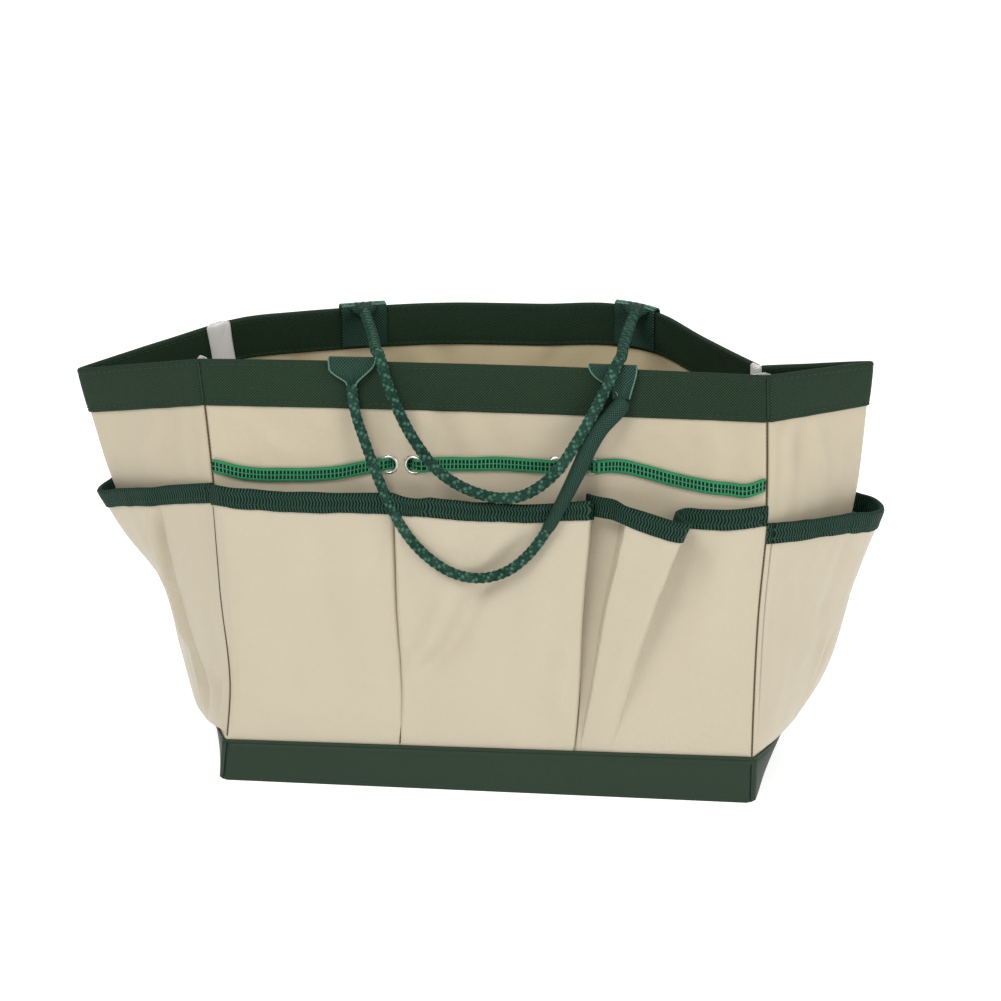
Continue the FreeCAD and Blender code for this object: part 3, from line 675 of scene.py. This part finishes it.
def base():
    y = np.linspace(-FLOOR + 0.4, FLOOR - 0.4, 60)
    half = HALF + 6 * (1 - (y / FLOOR) ** 2) - 0.6
    ss, yy = np.meshgrid(np.linspace(-1, 1, 90), y, indexing="ij")
    x = ss * half
    puff = 0.12 * (1 - np.abs(ss) ** 6) * (1 - np.abs(yy / FLOOR) ** 6) * ripple(x, yy, 31, 40)
    lower = np.stack([x, yy, np.clip(puff, 0, 1)], -1)
    upper = np.stack([x, yy, np.full_like(x, FABRIC)], -1)
    shell("base_panel_cloth", lower, upper, np.stack([x, yy], -1), "base_fabric", ("base_panel",))
    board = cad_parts["base_board"].data.materials
    board.clear()
    board.append(MATERIALS["board"])


def seam_bindings():
    for before, after, top in (("left", "front", 234.6), ("front", "right", 234.2), ("right", "back", 236.2),
                               ("back", "left", 236.4)):
        corner = {"left": "front_left", "front": "front_right", "right": "back_right", "back": "back_left"}[before]
        v = np.concatenate([np.linspace(5, 226, 75), np.linspace(227.5, top, 9)])
        width = np.linalg.norm(on_wall(after, 0.1, v, 0) - on_wall(after, 0.0, v, 0), axis=1) * 10
        reach = 4.6 + 0.4 * ripple(v, 0 * v, 41, 30)
        dome = np.sqrt(np.clip(1 - np.clip((v - (top - 3.4)) / 3.4, 0, 1) ** 2, 0.04, 1))
        outer, inner = [], []
        for a in np.linspace(-1, 1, 15):
            bow = (1.7 * (1 - a * a) + 0.15 + 0.25 * ripple(v + 20 * a, 0 * v, 43, 18)) * dome
            share = np.abs(a) * reach * dome / width
            t, side = (1 - share, before) if a < 0 else (share, after)
            outer.append(on_wall(side, t, v, -2.4 - bow))
            inner.append(on_wall(side, t, v, -1.45 - bow * 0.5))
        outer = np.array(outer)
        shell(corner + "_seam_tape", outer, np.array(inner), grid_uv(outer), "seam_tape",
              (corner + "_seam_binding",))


# ---------------------------------------------------------------- pockets
def plain_pocket(feet, swell, heights, lines, seed, edges=(16, 16), tops=None):
    """A pocket sewn at both sides: feet and tops are its shares of the wall, heights left, middle and right."""
    def spec(s):
        height = mix(mix(heights[0], heights[2], s), heights[1], 4 * s * (1 - s))
        shut = np.abs(2 * s - 1) ** np.where(s < 0.5, *edges)
        height = height + 0.3 * ripple(s * 90, 0 * s, seed, 40) - 2.6 * shut
        return mix(*feet, s), mix(*(tops or feet), s), swell * (1 - shut), height
    return spec, lines, seed


def fold_pocket():
    """The right front pocket, whose fullness has fallen over into one standing fold."""
    place = [0, 0.09, 0.19, 0.31, 0.42, 0.49, 0.54, 0.6, 0.66, 0.77, 0.89, 1]
    x_foot = [50.3, 51.2, 52.6, 56, 60, 63.5, 67, 70, 74, 95, 118, 144.5]
    x_top = [54, 66, 77, 90, 103, 107.5, 106, 101.5, 105, 117, 131, 148.5]
    swell = [3, 10.5, 18, 21, 22.5, 21, 16.5, 6.5, 3, 3, 3, 0]
    height = [165.5, 164.5, 162.5, 159.5, 156.5, 156, 156, 158, 159.5, 159.5, 159.5, 162]
    rows = [(s, share_at("front", foot, 22), share_at("front", top, 165), o, h)
            for s, foot, top, o, h in zip(place, x_foot, x_top, swell, height)]
    rows[-1] = (1, 1, 1, 0, height[-1])
    lines = [(70, 30, 74, 90, 78, 150, 6, -0.6, 0.5), (84, 30, 80, 90, 86, 150, 6, 0.6, 0.5)]
    return lambda s: np.moveaxis(smooth(rows, s), -1, 0), lines, 57


def side_pocket(tip, seams, swell, lines, seed):
    """A pocket round a gusset's fold; tip and seams are its heights at the fold and at both ends."""
    def spec(s):
        rise = tent(s, 0.05)
        height = mix(np.where(s < 0.5, *seams), tip, rise) + 0.4 * ripple(s * 160, 0 * s, seed, 50)
        return s, s, swell * rise ** 0.7 * np.clip(np.minimum(s, 1 - s) * 40, 0, 1), height
    return spec, lines, seed


def pocket_points(side, spec, lines, seed, s, v_of, tape=False):
    """Inner face of a pocket's cloth; v_of turns a column's height into its rows of heights."""
    foot, top, swell, height = spec(s)
    height = height[:, None]
    v = v_of(height)
    f = np.clip(v - FOOT, 0, None) / (height - FOOT)
    ss = np.repeat(s[:, None], v.shape[1], 1)
    width = WIDTHS[side] * (top.max() - top.min())
    u = ss * width
    folded = side == "front" and top[0] > 0.6     # the right front pocket
    free = np.clip(f * 3, 0, 1) * np.clip(np.minimum(ss, 1 - ss) * width / 9, 0, 1)
    calm = (1 - 0.8 * np.clip((v - height + 22) / 12, 0, 1)) * (0.35 if folded else 1)
    own = (0.65 * ripple(u, v * 0.5, seed, 54) + 0.05 * ripple(u, v, seed + 1, 21)
           + 0.4 * (0.5 - np.abs(ripple(u, v * 0.4, seed + 2, 44, 8)))) * free * calm
    mouth = 1 - 0.7 * np.clip((v - height + 26) / 16, 0, 1)
    own = own + folds(u, v, lines) * np.clip(free * 1.5, 0, 1) * mouth
    wall = FABRIC + GAP + 1.1 * f
    offset = wall + swell[:, None] * f ** (2.2 if side == "left" else 0.85)
    if side in LOW_SWELL:
        slack, low = LOW_SWELL[side]
        belly = np.sin(np.pi * np.clip((v - FOOT) / 75, 0, 1) ** low)
        offset = offset + slack * belly * tent(ss, 0.3) ** 0.6
    offset = np.maximum(offset + own, FABRIC + GAP)
    if folded and not tape:     # the deep pleat beside the middle pocket
        deep = wall + 18 * np.clip(ss / PLEAT, 0, 1) ** 14 * f ** 0.85
        depth = np.clip((v - FOOT) / 15, 0, 1) * np.clip((height - TAPE_WIDTH + 1.5 - v) / 2, 0, 1)
        offset = mix(offset, np.minimum(offset, deep), depth * (ss < PLEAT))
    return on_wall(side, mix(foot[:, None], top[:, None], f), v, offset)


def grid_normals(points):
    return unit(np.cross(np.gradient(points, axis=0), np.gradient(points, axis=1)))


LOW_SWELL = {"left": (10.5, 0.24), "right": (5.5, 0.45)}     # slack of the side pockets just over the base
PLEAT = 0.19     # share of the right pocket's cloth that lies back in its pleat


def pocket(side, name, shape, count=90):
    """A pocket and the tape over its mouth; gives back the lines of the tape's stitches."""
    spec, lines, seed = shape
    near = {0.002, 0.005, 0.008, 0.014, 0.02, 0.98, 0.986, 0.992, 0.995, 0.998}
    near |= {0.175, 0.182, 0.187, PLEAT, 0.193, 0.198}
    s = np.array(sorted(set(np.round(np.linspace(0, 1, count), 5)) | near))
    low, rise = np.linspace(0, 1, 8), np.linspace(0, 1, 72)[1:]

    def rows(height):
        return np.concatenate([np.repeat(low[None] * FOOT, len(height), 0), FOOT + rise * (height - FOOT)], 1)

    inner = pocket_points(side, spec, lines, seed, s, rows)
    n = grid_normals(inner)
    n[:, 0, 2] = 0
    outer = inner + unit(n) * POCKET
    shell(name + "_pocket_cloth", outer, inner, grid_uv(outer), "pocket_fabric", (name + "_pocket",))

    drops = np.array([1.0, 0.9, 0.72, 0.48, 0.25, 0.1, 0.0]) * (
        MIDDLE_TAPE_WIDTH if name == "front_middle" else TAPE_WIDTH)
    edge = pocket_points(side, spec, lines, seed, s, lambda height: height - drops, True)
    n = grid_normals(edge)
    up, top, way = unit(edge[:, -1] - edge[:, -3]), edge[:, -1], n[:, -1]
    out, back = POCKET + GAP, -GAP
    puff = np.array([-0.05, 0.0, -0.16, 0.06, 0.1, 0.06, 0])
    wobble = 0.12 * ripple(s * 300, 0 * s, seed + 5, 16)[:, None]
    grids = []
    for thick, swell, crown in (
            (TAPE, (puff + wobble, puff), ((0.6, out + TAPE - 0.15), (1.0, out + TAPE - 0.65), (1.1, 0.5),
                                           (1.0, back - TAPE + 0.55), (0.6, back - TAPE + 0.12))),
            (0, (0 * puff, 0 * puff), ((0.3, out - 0.02), (0.35, 0.75), (0.38, 0.5), (0.35, 0.2),
                                       (0.3, back + 0.02)))):
        outside = edge + n * (out + thick + swell[0])[..., None]
        inside = edge + n * (back - thick - swell[1])[..., None]
        crown = np.stack([top + up * u + way * o for u, o in crown], 1)
        grids.append(np.concatenate([outside, crown, inside[:, ::-1]], 1))
    shell(name + "_pocket_tape", *grids, grid_uv(grids[0]), "binding_tape", (name + "_pocket_binding",))
    edge, n = edge[2:-2, 2], n[2:-2, 2]
    return [(edge + n * (out + TAPE - 0.1), n), (edge + n * (back - TAPE + 0.1), -n)]


def pockets():
    lines = []
    for side, name, shape, *count in (
            ("front", "front_left", plain_pocket((0, 0.332), 9.5, (166, 162, 163.5), [
                (50, 40, 46, 100, 40, 150, 9, 0.9, 0.7),
                (80, 30, 84, 90, 76, 150, 10, 0.7, 0.7)], 50, (16, 90))),
            ("front", "front_middle", plain_pocket((0.3335, 0.664), 12.5, (163.8, 160.5, 163), [
                (14, 70, 36, 110, 66, 152, 7, 2.8, 2.2), (2, 60, 18, 90, 40, 135, 7, 2.0, 1.6),
                (72, 60, 78, 100, 90, 150, 8, 0.8, 0.6),
                (98, 30, 99, 100, 101, 150, 9, 1.5, 0)], 60, (90, 4000), (0.334, 0.689))),
            ("front", "front_right", fold_pocket(), 170),
            ("back", "back_right", plain_pocket((0, 0.332), 8, (165, 163, 165.5), [
                (40, 40, 50, 100, 44, 150, 8, 0.9, 0.8)], 70)),
            ("back", "back_middle", plain_pocket((0.3335, 0.6675), 9, (165, 162.5, 165), [
                (30, 40, 44, 100, 60, 150, 8, 1.2, 1.0),
                (80, 40, 76, 100, 90, 150, 8, 0.8, 0.7)], 80)),
            ("back", "back_left", plain_pocket((0.669, 1), 8, (165.5, 163, 165), [
                (60, 40, 56, 100, 64, 150, 8, 1.0, 0.8)], 90)),
            ("right", "right_side", side_pocket(150, (152.5, 154), 14.0, [
                (62, 23, 66, 48, 74, 84, 4.5, 1.4, 1.6), (16, 28, 24, 90, 30, 150, 9, 0.8, 0.4),
                (50, 60, 46, 100, 56, 150, 10, 0.9, 0.6),
                (170, 30, 160, 90, 166, 150, 8, 1.0, 0.6)], 100), 150),
            ("left", "left_side", side_pocket(157, (166, 164.5), 7.5, [
                (168, 24, 166, 48, 150, 78, 142, 104, 146, 132, 150, 158, 3.3, 4.2, 3.8),
                (184, 24, 184, 44, 179, 62, 3.6, 2.0, 1.6),
                (158, 26, 156, 50, 146, 80, 3.2, 0.6, 2.4),
                (40, 30, 44, 90, 36, 150, 8, 1.0, 0.6)], 110), 150)):
        lines += pocket(side, name, shape, *count)
    stitches("tape_stitches", lines, 2.4, 1.0)


def seam_and_shade_lines():
    """Dark lines at the corners and between the pockets: cords of green stitch thread on the bands, and dark brown
    cords on the beige cloth that are painted shade of the seams' folds.
    """
    shade_cords, green = [], []
    over, low = FABRIC + GAP + BAND, FABRIC + POCKET + 2 * GAP + BAND
    low_rows = np.linspace(FOOT - 1, 153, 90)
    rise = 1.1 * np.clip(low_rows - FOOT, 0, None) / (162 - FOOT)
    for side in ("front", "back"):
        for t in (0.0, 1.0):
            for rows, offset, parts in ((np.linspace(150, 209, 50), FABRIC, shade_cords),
                                        (np.linspace(209.5, 231.5, 24), over, green),
                                        (np.linspace(0.8, 21, 22), low, green)):
                parts.append(tube(on_wall(side, t, rows, offset - SEAM), SEAM))
        for t in (0.0, 0.33275, 1.0) + ((0.66825,) if side == "back" else ()):
            offset = FABRIC + GAP + POCKET + rise + (0.0 if 0 < t < 1 else 0.15)
            shade_cords.append(tube(on_wall(side, t, low_rows, offset), SEAM))
    # The dark brown cords on the beige cloth are painted shade of the folds at the corners and between the pockets.
    joined("panel_shade_cords", shade_cords, "shade_cord_brown")
    joined("band_seams", green, "thread_green")


# ---------------------------------------------------------------- eyelets and elastic
def eyelets():
    profile = [(3.7, -0.5), (3.72, 1.3), (3.85, 1.8), (4.2, 2.08), (4.65, 1.95), (5.05, 1.6), (5.25, 1.32),
               (5.05, 1.24), (4.5, 1.26), (4.32, 1.2), (4.3, 0.6), (4.32, 0.0), (4.5, -0.06), (5.1, -0.04),
               (5.25, -0.16), (5.0, -0.5), (4.5, -0.78), (4.05, -0.82), (3.8, -0.72)]
    r, h = np.array(profile).T[:, None, :, None]
    turn, wide = circle(48)[:, None, None], len(profile)
    last = np.arange(48)[:, None] * wide
    after = np.roll(last, -1)
    close = np.concatenate([last + wide - 1, after + wide - 1, after, last], 1)
    faces = np.concatenate([quads(48, wide, wrap=True), close])
    for side in EYELETS:
        for number, (origin, out, along, up) in enumerate(eyelet_frames(side), 1):
            grid = origin + out * h + r * (along * np.cos(turn) + up * np.sin(turn))
            node = "%s_eyelet_%d" % (side, number)
            obj = add_mesh(node + "_ring", grid.reshape(-1, 3), faces, material="eyelet_metal")
            settle(obj, (node,))


STRAP_HEIGHT = {"front": [(-160, 175.5), (-149, 174.6), (-132, 171.2), (-114, 171), (-96, 171.6), (-66, 175.9),
                          (-54.5, 177.6), (-40.5, 178.4), (-10, 179.8), (36.5, 180.2), (54.5, 180.8),
                          (70, 181), (85, 178.8), (99, 175.6), (113, 172.6), (128, 170.7), (138, 170.2),
                          (148, 174), (160, 176)],
                "back": [(-180, 180), (180, 180)]}


def strap(side):
    """The elastic, in and out of the eyelets: a plan of (x, offset) with its height from STRAP_HEIGHT."""
    ends = sorted(on_wall(side, t, 175.0, 0)[0] for t in (0.004, 0.996))
    holes = sorted(x for x, _ in EYELETS[side])
    outside, inside = 2.75, -1.75
    dive = [(-6.5, outside - 0.1), (-4.6, outside + 0.35), (-2.6, outside + 0.1), (-1.2, 1.9), (-0.35, 0.6),
            (0.5, -0.8), (1.6, -1.5), (3.4, inside - 0.1), (5, inside)]
    plan = [(ends[0], outside)]
    for hole, way in zip(holes, (1, -1, 1, -1)):
        plan += [(hole + way * x, o) for x, o in dive[::way]]
    plan = np.array(plan + [(ends[1], outside)])
    run = along_length(plan)
    at = np.array(sorted(set(np.round(np.arange(0, run[-1], 1.6), 3)) | set(np.round(run, 3))))
    line = places(plan, run, at)
    for _ in range(3):
        line[1:-1] = 0.5 * line[1:-1] + 0.25 * (line[2:] + line[:-2])
    way = unit(np.gradient(line, axis=0))
    near = np.min(np.abs(line[:, :1] - np.array(holes)), axis=1)
    half = ELASTIC_WIDTH / 2 - 0.75 * np.clip(1 - near / 4.5, 0, 1)
    heights = smooth(STRAP_HEIGHT[side], line[:, 0])[:, 0] + 0.35 * ripple(at, 0 * at, 71, 60)
    grids = []
    for sign in (1, -1):
        columns = []
        for s in np.linspace(-1, 1, 9):
            thick = sign * 0.68 * (1 - 0.25 * abs(s) ** 6)
            x = line[:, 0] - thick * way[:, 1]
            o = line[:, 1] + thick * way[:, 0] + 0.7 * np.clip(1 - near / 3.5, 0, 1) * s * s
            v = heights + s * half
            t = np.array([share_at(side, a, b) for a, b in zip(x, v)])
            columns.append(on_wall(side, t, v, o))
        grids.append(np.stack(columns, 1)[::-1 if side == "back" else 1])
    uv = np.stack(np.meshgrid(at, np.linspace(0, ELASTIC_WIDTH, 9), indexing="ij"), -1)
    shell(side + "_elastic_strap", *grids, uv, "elastic", (side + "_elastic",))


# ---------------------------------------------------------------- ropes
FRONT_ROUTE = [(-74, -51.4, 223.5), (-73.5, -53.6, 211), (-66.5, -59, 193), (-56, -67, 168), (-40.5, -74, 141),
               (-16, -77.5, 123.5), (9, -77.5, 124.5), (28.5, -76, 142), (43.5, -70, 172), (56, -60.5, 203),
               (66, -54, 213), (71.5, -52.4, 219.6)]
REAR_ROUTE = [(-83.5, 58.0, 232.0), (-70, 2, 234.2), (-63, -38, 237.6), (-60, -46.5, 238.9), (-57.5, -53.4, 235.0),
              (-53, -55.8, 221), (-42, -63, 199), (-22, -71.5, 176), (12, -74, 165.5), (35.5, -70.5, 178),
              (51, -62.5, 203), (60.5, -55.8, 221), (66.5, -53.4, 235.0), (68.7, -46.5, 238.9), (69.5, -38, 237.6),
              (68.5, 8, 234.8), (70.6, 72.0, 231.5)]


def route_curve(name, points):
    data = bpy.data.curves.new(name, "CURVE")
    data.dimensions = "3D"
    spline = data.splines.new("NURBS")
    spline.points.add(len(points) - 1)
    for target, point in zip(spline.points, points):
        target.co = (*[c / 1000 for c in point], 1)
    spline.order_u = 3
    spline.use_endpoint_u = True
    data.resolution_u = 24
    obj = linked(name, data)
    mesh = bpy.data.meshes.new_from_object(obj)
    line = np.array([v.co for v in mesh.vertices]) * 1000
    bpy.data.meshes.remove(mesh)
    bpy.data.objects.remove(obj)
    bpy.data.curves.remove(data)
    return line


def even(line, step):
    """A line of points with even steps, and the distance of each."""
    run = along_length(line)
    at = np.linspace(0, run[-1], int(run[-1] / step) + 1)
    return places(line, run, at), at


def frames_along(line):
    """Two directions across a line, turning as little as they can."""
    way = unit(np.gradient(line, axis=0))
    side = np.zeros_like(line)
    guess = np.cross(way[0], (0.3, 0.2, 1.0))
    for i, w in enumerate(way):
        guess = guess - w * (guess @ w)
        guess = guess / np.linalg.norm(guess)
        side[i] = guess
    return side, np.cross(way, side)


def braid(line, radius):
    """Round braid: two families of flat strands that pass over and under each other."""
    line, at = even(line, 0.5)
    side, up = frames_along(line)
    core, swing, half_thick = radius - 0.86, 0.34, 0.56
    turn = np.radians([-50, -12, 22, 56, 90, 124, 158, 192])
    parts, uvs = [], []
    taper = np.clip(np.minimum(at, at[-1] - at) / 1.6, 0.35, 1)
    for family in (1, -1):
        for k in range(STRANDS):
            angle = 2 * np.pi * (family * at / LEAD + k / STRANDS)
            r = (core + family * swing * np.cos(2 * np.pi * STRANDS * at / LEAD)) * taper
            out = side * np.cos(angle)[:, None] + up * np.sin(angle)[:, None]
            centre = line + out * r[:, None]
            way = unit(np.gradient(centre, axis=0))
            wide = unit(np.cross(way, out))
            ring = oval(centre, wide, np.cross(wide, way), turn, 0.40 * radius, half_thick)
            parts.append((ring.reshape(-1, 3), rod(len(at), -1)))
            over = at + (0 if family > 0 else LEAD / STRANDS / 2) + 40 * k
            uvs.append(np.stack(np.broadcast_arrays(over[:, None], 500 * (1 + np.sin(turn))), -1).reshape(-1, 2))
    return (*merged(parts), np.concatenate(uvs))


def ropes():
    line = route_curve("front_route", FRONT_ROUTE)
    rope = add_mesh("front_handle_braid", *braid(line, 2.95), "rope")
    settle(rope, ("front_handle_rope",), "front_handle")
    line = route_curve("rear_route", REAR_ROUTE)
    rope = add_mesh("rear_handle_braid", *braid(line, 3.15), "rope")
    settle(rope, ("rear_handle_left_rope", "rear_handle_loop_rope", "rear_handle_right_rope"), None)
    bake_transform(rope)


# ---------------------------------------------------------------- flattened rope ends
def tube(line, radius):
    """Points and faces of a thin twisted cord along a line."""
    line, at = even(line, 0.6)
    turn = circle(8)
    size = np.interp(at, [0, 0.8, at[-1] - 0.8, at[-1]], [0.45, 1, 1, 0.45]) * radius
    lay = size[:, None] * (1 + 0.16 * np.cos(2 * (turn + 2 * np.pi * at[:, None] / 4.2)))
    return oval(line, *frames_along(line), turn, lay, lay).reshape(-1, 3), rod(len(at))


def joined(name, parts, material, body="bag"):
    return settle(add_mesh(name, *merged(parts), material=material), (), body)


def web_point(side, x, up, across, out):
    """Place on a flattened rope end: across and up from where it meets the hinge line."""
    v = HINGE_V + up
    return on_wall(side, share_at(side, x, min(v, WALL)) + across / WIDTHS[side], v, HINGE_O + out)


def web(name, side, x, plan, node, body="bag", pleat=0.0):
    """Cloth along plan rows (out, up, left half width, right half width), from outside up and over."""
    plan = np.array(plan, float)
    key = along_length(plan[:, :2])
    at = np.linspace(0, key[-1], int(key[-1] / 0.7) + 2)
    rows = smooth(np.column_stack([key, plan]), at)
    out, up, left, right = rows.T
    way = unit(np.gradient(rows[:, :2], axis=0))
    grids = []
    for lift in (0.55, -0.5):
        columns = []
        for c in WEB_SHARES:
            squeeze = 1 - (left + right) / (2 * WEB_HALF)
            fold = lift + pleat * squeeze * (np.cos(7 * np.pi * c / 2) + 1.6 * (1 - c * c))
            across = c * (left if c < 0 else right)
            columns.append([web_point(side, x, b, d, a) for a, b, d in
                            zip(out + fold * way[:, 1], up - fold * way[:, 0], across)])
        grids.append(np.array(columns))
    uv = np.stack(np.meshgrid(WEB_SHARES * WEB_HALF, at, indexing="ij"), -1)
    return shell(name, *grids, uv, "webbing", (node,), "rope", body), rows


WEB_HALF, WEB_SHARES = 12.5, np.linspace(-1, 1, 41)     # half width of a rope end pressed flat, and its columns
SLEEVE = 82     # length of the front rope's flat stretch
INSIDE = [(0, 3.45, 12.5, 12.5), (-1.7, 3.15, 12.5, 12.5), (-2.9, 2.0, 12.5, 12.5), (-3.3, 0, 12.4, 12.5),
          (-3.2, -6, 12.5, 12.3), (-3.15, -12, 12.3, 12.5), (-3.15, -17, 12.5, 12.4), (-3.1, -21.2, 12.4, 12.5)]


def web_ends():
    fronts = {"front_left": (-74.0, [(5.7, -11, 2.4, 2.2), (5.4, -9, 3.0, 2.8), (5.1, -7, 6.0, 4.6),
                                     (4.7, -5, 9.4, 6.8), (4.3, -2.8, 11.8, 9.2), (3.8, -0.2, 12.3, 11.4),
                                     (2.9, 2.1, 12.5, 12.3), (1.6, 3.2, 12.5, 12.5), (0, 3.45, 12.5, 12.5)]),
              "front_right": (65.5, [(5.6, -13.5, -3.4, 9.0), (5.2, -11, -2.6, 9.6), (4.9, -8.5, 0.0, 10.2),
                                     (4.6, -6, 3.8, 10.9), (4.3, -3.2, 8.2, 11.6), (3.8, -0.2, 11.2, 12.2),
                                     (2.9, 2.1, 12.3, 12.5), (1.6, 3.2, 12.5, 12.5), (0, 3.45, 12.5, 12.5)])}
    for name, (x, plan) in fronts.items():
        web(name + "_web", "front", x, INSIDE, name + "_anchor")
        end, rows = web(name + "_web_end", "front", x, plan, name + "_tab", None, 0.5)
        edges = [[web_point("front", x, u, w, o + 0.55) for o, u, w in zip(rows[:, 0], rows[:, 1], half)]
                 for half in (-rows[:, 2], rows[:, 3])]
        rolls = [tube(np.array(edge), 0.45) for edge in edges]
        rolls = joined(name + "_web_rolls", rolls, "rope_light", None)
        for obj in (end, rolls):
            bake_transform(obj)
    sleeve()
    for name, x, start in (("rear_left", -85.0, REAR_ROUTE[0]), ("rear_right", 71.0, REAR_ROUTE[-1])):
        outside = [(3.3, -5.8, 12.5, 12.5), (3.3, -3, 12.5, 12.5), (3.3, 0, 12.5, 12.5), (2.9, 2.0, 12.5, 12.5),
                   (1.7, 3.15, 12.5, 12.5)]
        web(name + "_web", "back", x, outside + INSIDE, name + "_anchor")
        gather(name, x, np.array(start))


def sleeve():
    """Flat stretch of the front rope where its right end has not been drawn round yet."""
    line, at = even(route_curve("sleeve_route", FRONT_ROUTE)[::-1], 0.6)
    line, at = line[at < SLEEVE], at[at < SLEEVE]
    way = unit(np.gradient(line, axis=0))
    across = unit(np.cross(way, np.array([0.0, -1.0, 0.12])))
    across = across * np.sign(across[:, :1])
    up = unit(np.cross(way, across))
    up = up * -np.sign(up[:, 1:2])
    flat = np.interp(at, [0, 6, 44, SLEEVE], [5.6, 6.6, 5.4, 3.3])
    shut = np.interp(at, [0, 2, SLEEVE - 2, SLEEVE], [0.8, 1, 1, 0.9])
    turn, n = circle(48), len(at)
    wide = np.where(np.cos(turn) > 0, flat[:, None], 3.3) * shut[:, None]
    thick = 3.3 - 1.1 * np.clip(wide * np.cos(turn) / 6.6, 0, 1) + 0.10 * np.cos(12 * turn)
    points = oval(line, across, up, turn, wide, thick).reshape(-1, 3)
    caps = [[n * 48, (k + 1) % 48, k] for k in range(48)]
    caps += [[n * 48 + 1, (n - 1) * 48 + k, (n - 1) * 48 + (k + 1) % 48] for k in range(48)]
    uv = np.stack(np.broadcast_arrays(np.abs(turn - np.pi) * 6, at[:, None]), -1).reshape(-1, 2)
    obj = add_mesh("front_right_web_sleeve", np.concatenate([points, line[[0, -1]]]),
                   hoops(n, 48).tolist() + caps, np.concatenate([uv, uv[:2]]), "webbing")
    settle(obj, (), "front_handle")


def gather(name, x, start):
    """Upper layer of a rear rope end, drawn together from the rim into the rope."""
    rim, crest, under = (np.array([web_point("back", x, up, d, out) for d in np.linspace(-half, half, 41)])
                         for half, up, out in ((12.3, 4.3, 0.5), (12.5, 4.7, -0.6), (12.4, 3.2, -2.9)))
    hinge = web_point("back", x, 0, 0, 0)
    way = unit(start - hinge)
    side = unit(rim[-1] - rim[0])
    up = np.cross(way, side)
    up = up * np.sign(up[2])
    s = WEB_SHARES[:, None]
    f = np.linspace(0, 1, 22)[None, :, None]
    g = f * f * (3 - 2 * f)
    grids = []
    for lift in (0.5, -0.45):
        curl = s[..., None] * np.pi * 0.8
        end = start + way * 3 + (2.9 + lift) * (side * np.sin(curl) + up * np.cos(curl))
        pleats = 0.45 * np.cos(6 * np.pi * s[..., None]) * 4 * f * (1 - f) + lift * (1 - g)
        grids.append(rim[:, None] * (1 - g) + end * g + up * (pleats + 1.2 * f * (1 - f)))
    if np.cross(side, way) @ up < 0:
        grids = [g[::-1] for g in grids]
    uv = np.stack(np.meshgrid(WEB_SHARES * WEB_HALF, np.linspace(0, 12, 22), indexing="ij"), -1)
    obj = shell(name + "_web_gather", *grids, uv, "webbing", (), "rope", None)
    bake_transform(obj)
    joined(name + "_web_fold", [tube(crest, 0.8), tube(under, 0.7)], "rope_light")


# ---------------------------------------------------------------- all of it
def build():
    make_materials()
    ropes()
    panels()
    base()
    bands()
    seam_bindings()
    pockets()
    seam_and_shade_lines()
    eyelets()
    for side in EYELETS:
        strap(side)
    web_ends()


def placed(name, data, place, way):
    """A camera or lamp at a place, looking that way."""
    obj = linked(name, data)
    obj.location = place
    obj.rotation_euler = way.to_track_quat("-Z", "Y").to_euler()
    return obj


def stage():
    bpy.ops.mesh.primitive_plane_add(size=80, location=(0, 0, 0))
    floor = bpy.context.object
    floor.name = "floor"
    paint = make_plain("floor_paint", 0.7, 0.3, (3.0, 2.0), (0.62, 0.62, 0.62), (0.66, 0.66, 0.66), 0.01)
    paint.shader.inputs["Emission Color"].default_value = (1, 1, 1, 1)
    paint.shader.inputs["Emission Strength"].default_value = 0.7
    floor.data.materials.append(paint.mat)
    world = bpy.data.worlds.new("studio")
    bpy.context.scene.world = world
    world.use_nodes = True
    sky = world.node_tree.nodes["Background"].inputs
    sky["Color"].default_value, sky["Strength"].default_value = (1, 1, 1, 1), 0.47
    for name, place, size, power in (("key", (-0.6, -1.1, 1.65), 0.8, 20), ("fill", (1.5, -0.9, 1.0), 1.2, 14),
                                     ("back", (0.3, 1.4, 1.5), 1.2, 5)):
        data = bpy.data.lights.new(name, "AREA")
        data.size, data.energy = size, power
        placed(name, data, place, Vector((0, 0, 0.12)) - Vector(place))


def camera():
    """The photograph's view, found from the bag's outline."""
    azimuth, elevation, distance, target = math.radians(5.816), math.radians(19.498), 1.49935, (0.00073, 0, 0.141)
    back = Vector((math.sin(azimuth) * math.cos(elevation), -math.cos(azimuth) * math.cos(elevation),
                   math.sin(elevation)))
    data = bpy.data.cameras.new("camera")
    data.lens, data.sensor_width = 96.147, 36
    cam = placed("camera", data, Vector(target) + back * distance, -back)
    bpy.context.scene.camera = cam
    bpy.context.scene.view_settings.view_transform = "Standard"


camera()
build()
stage()
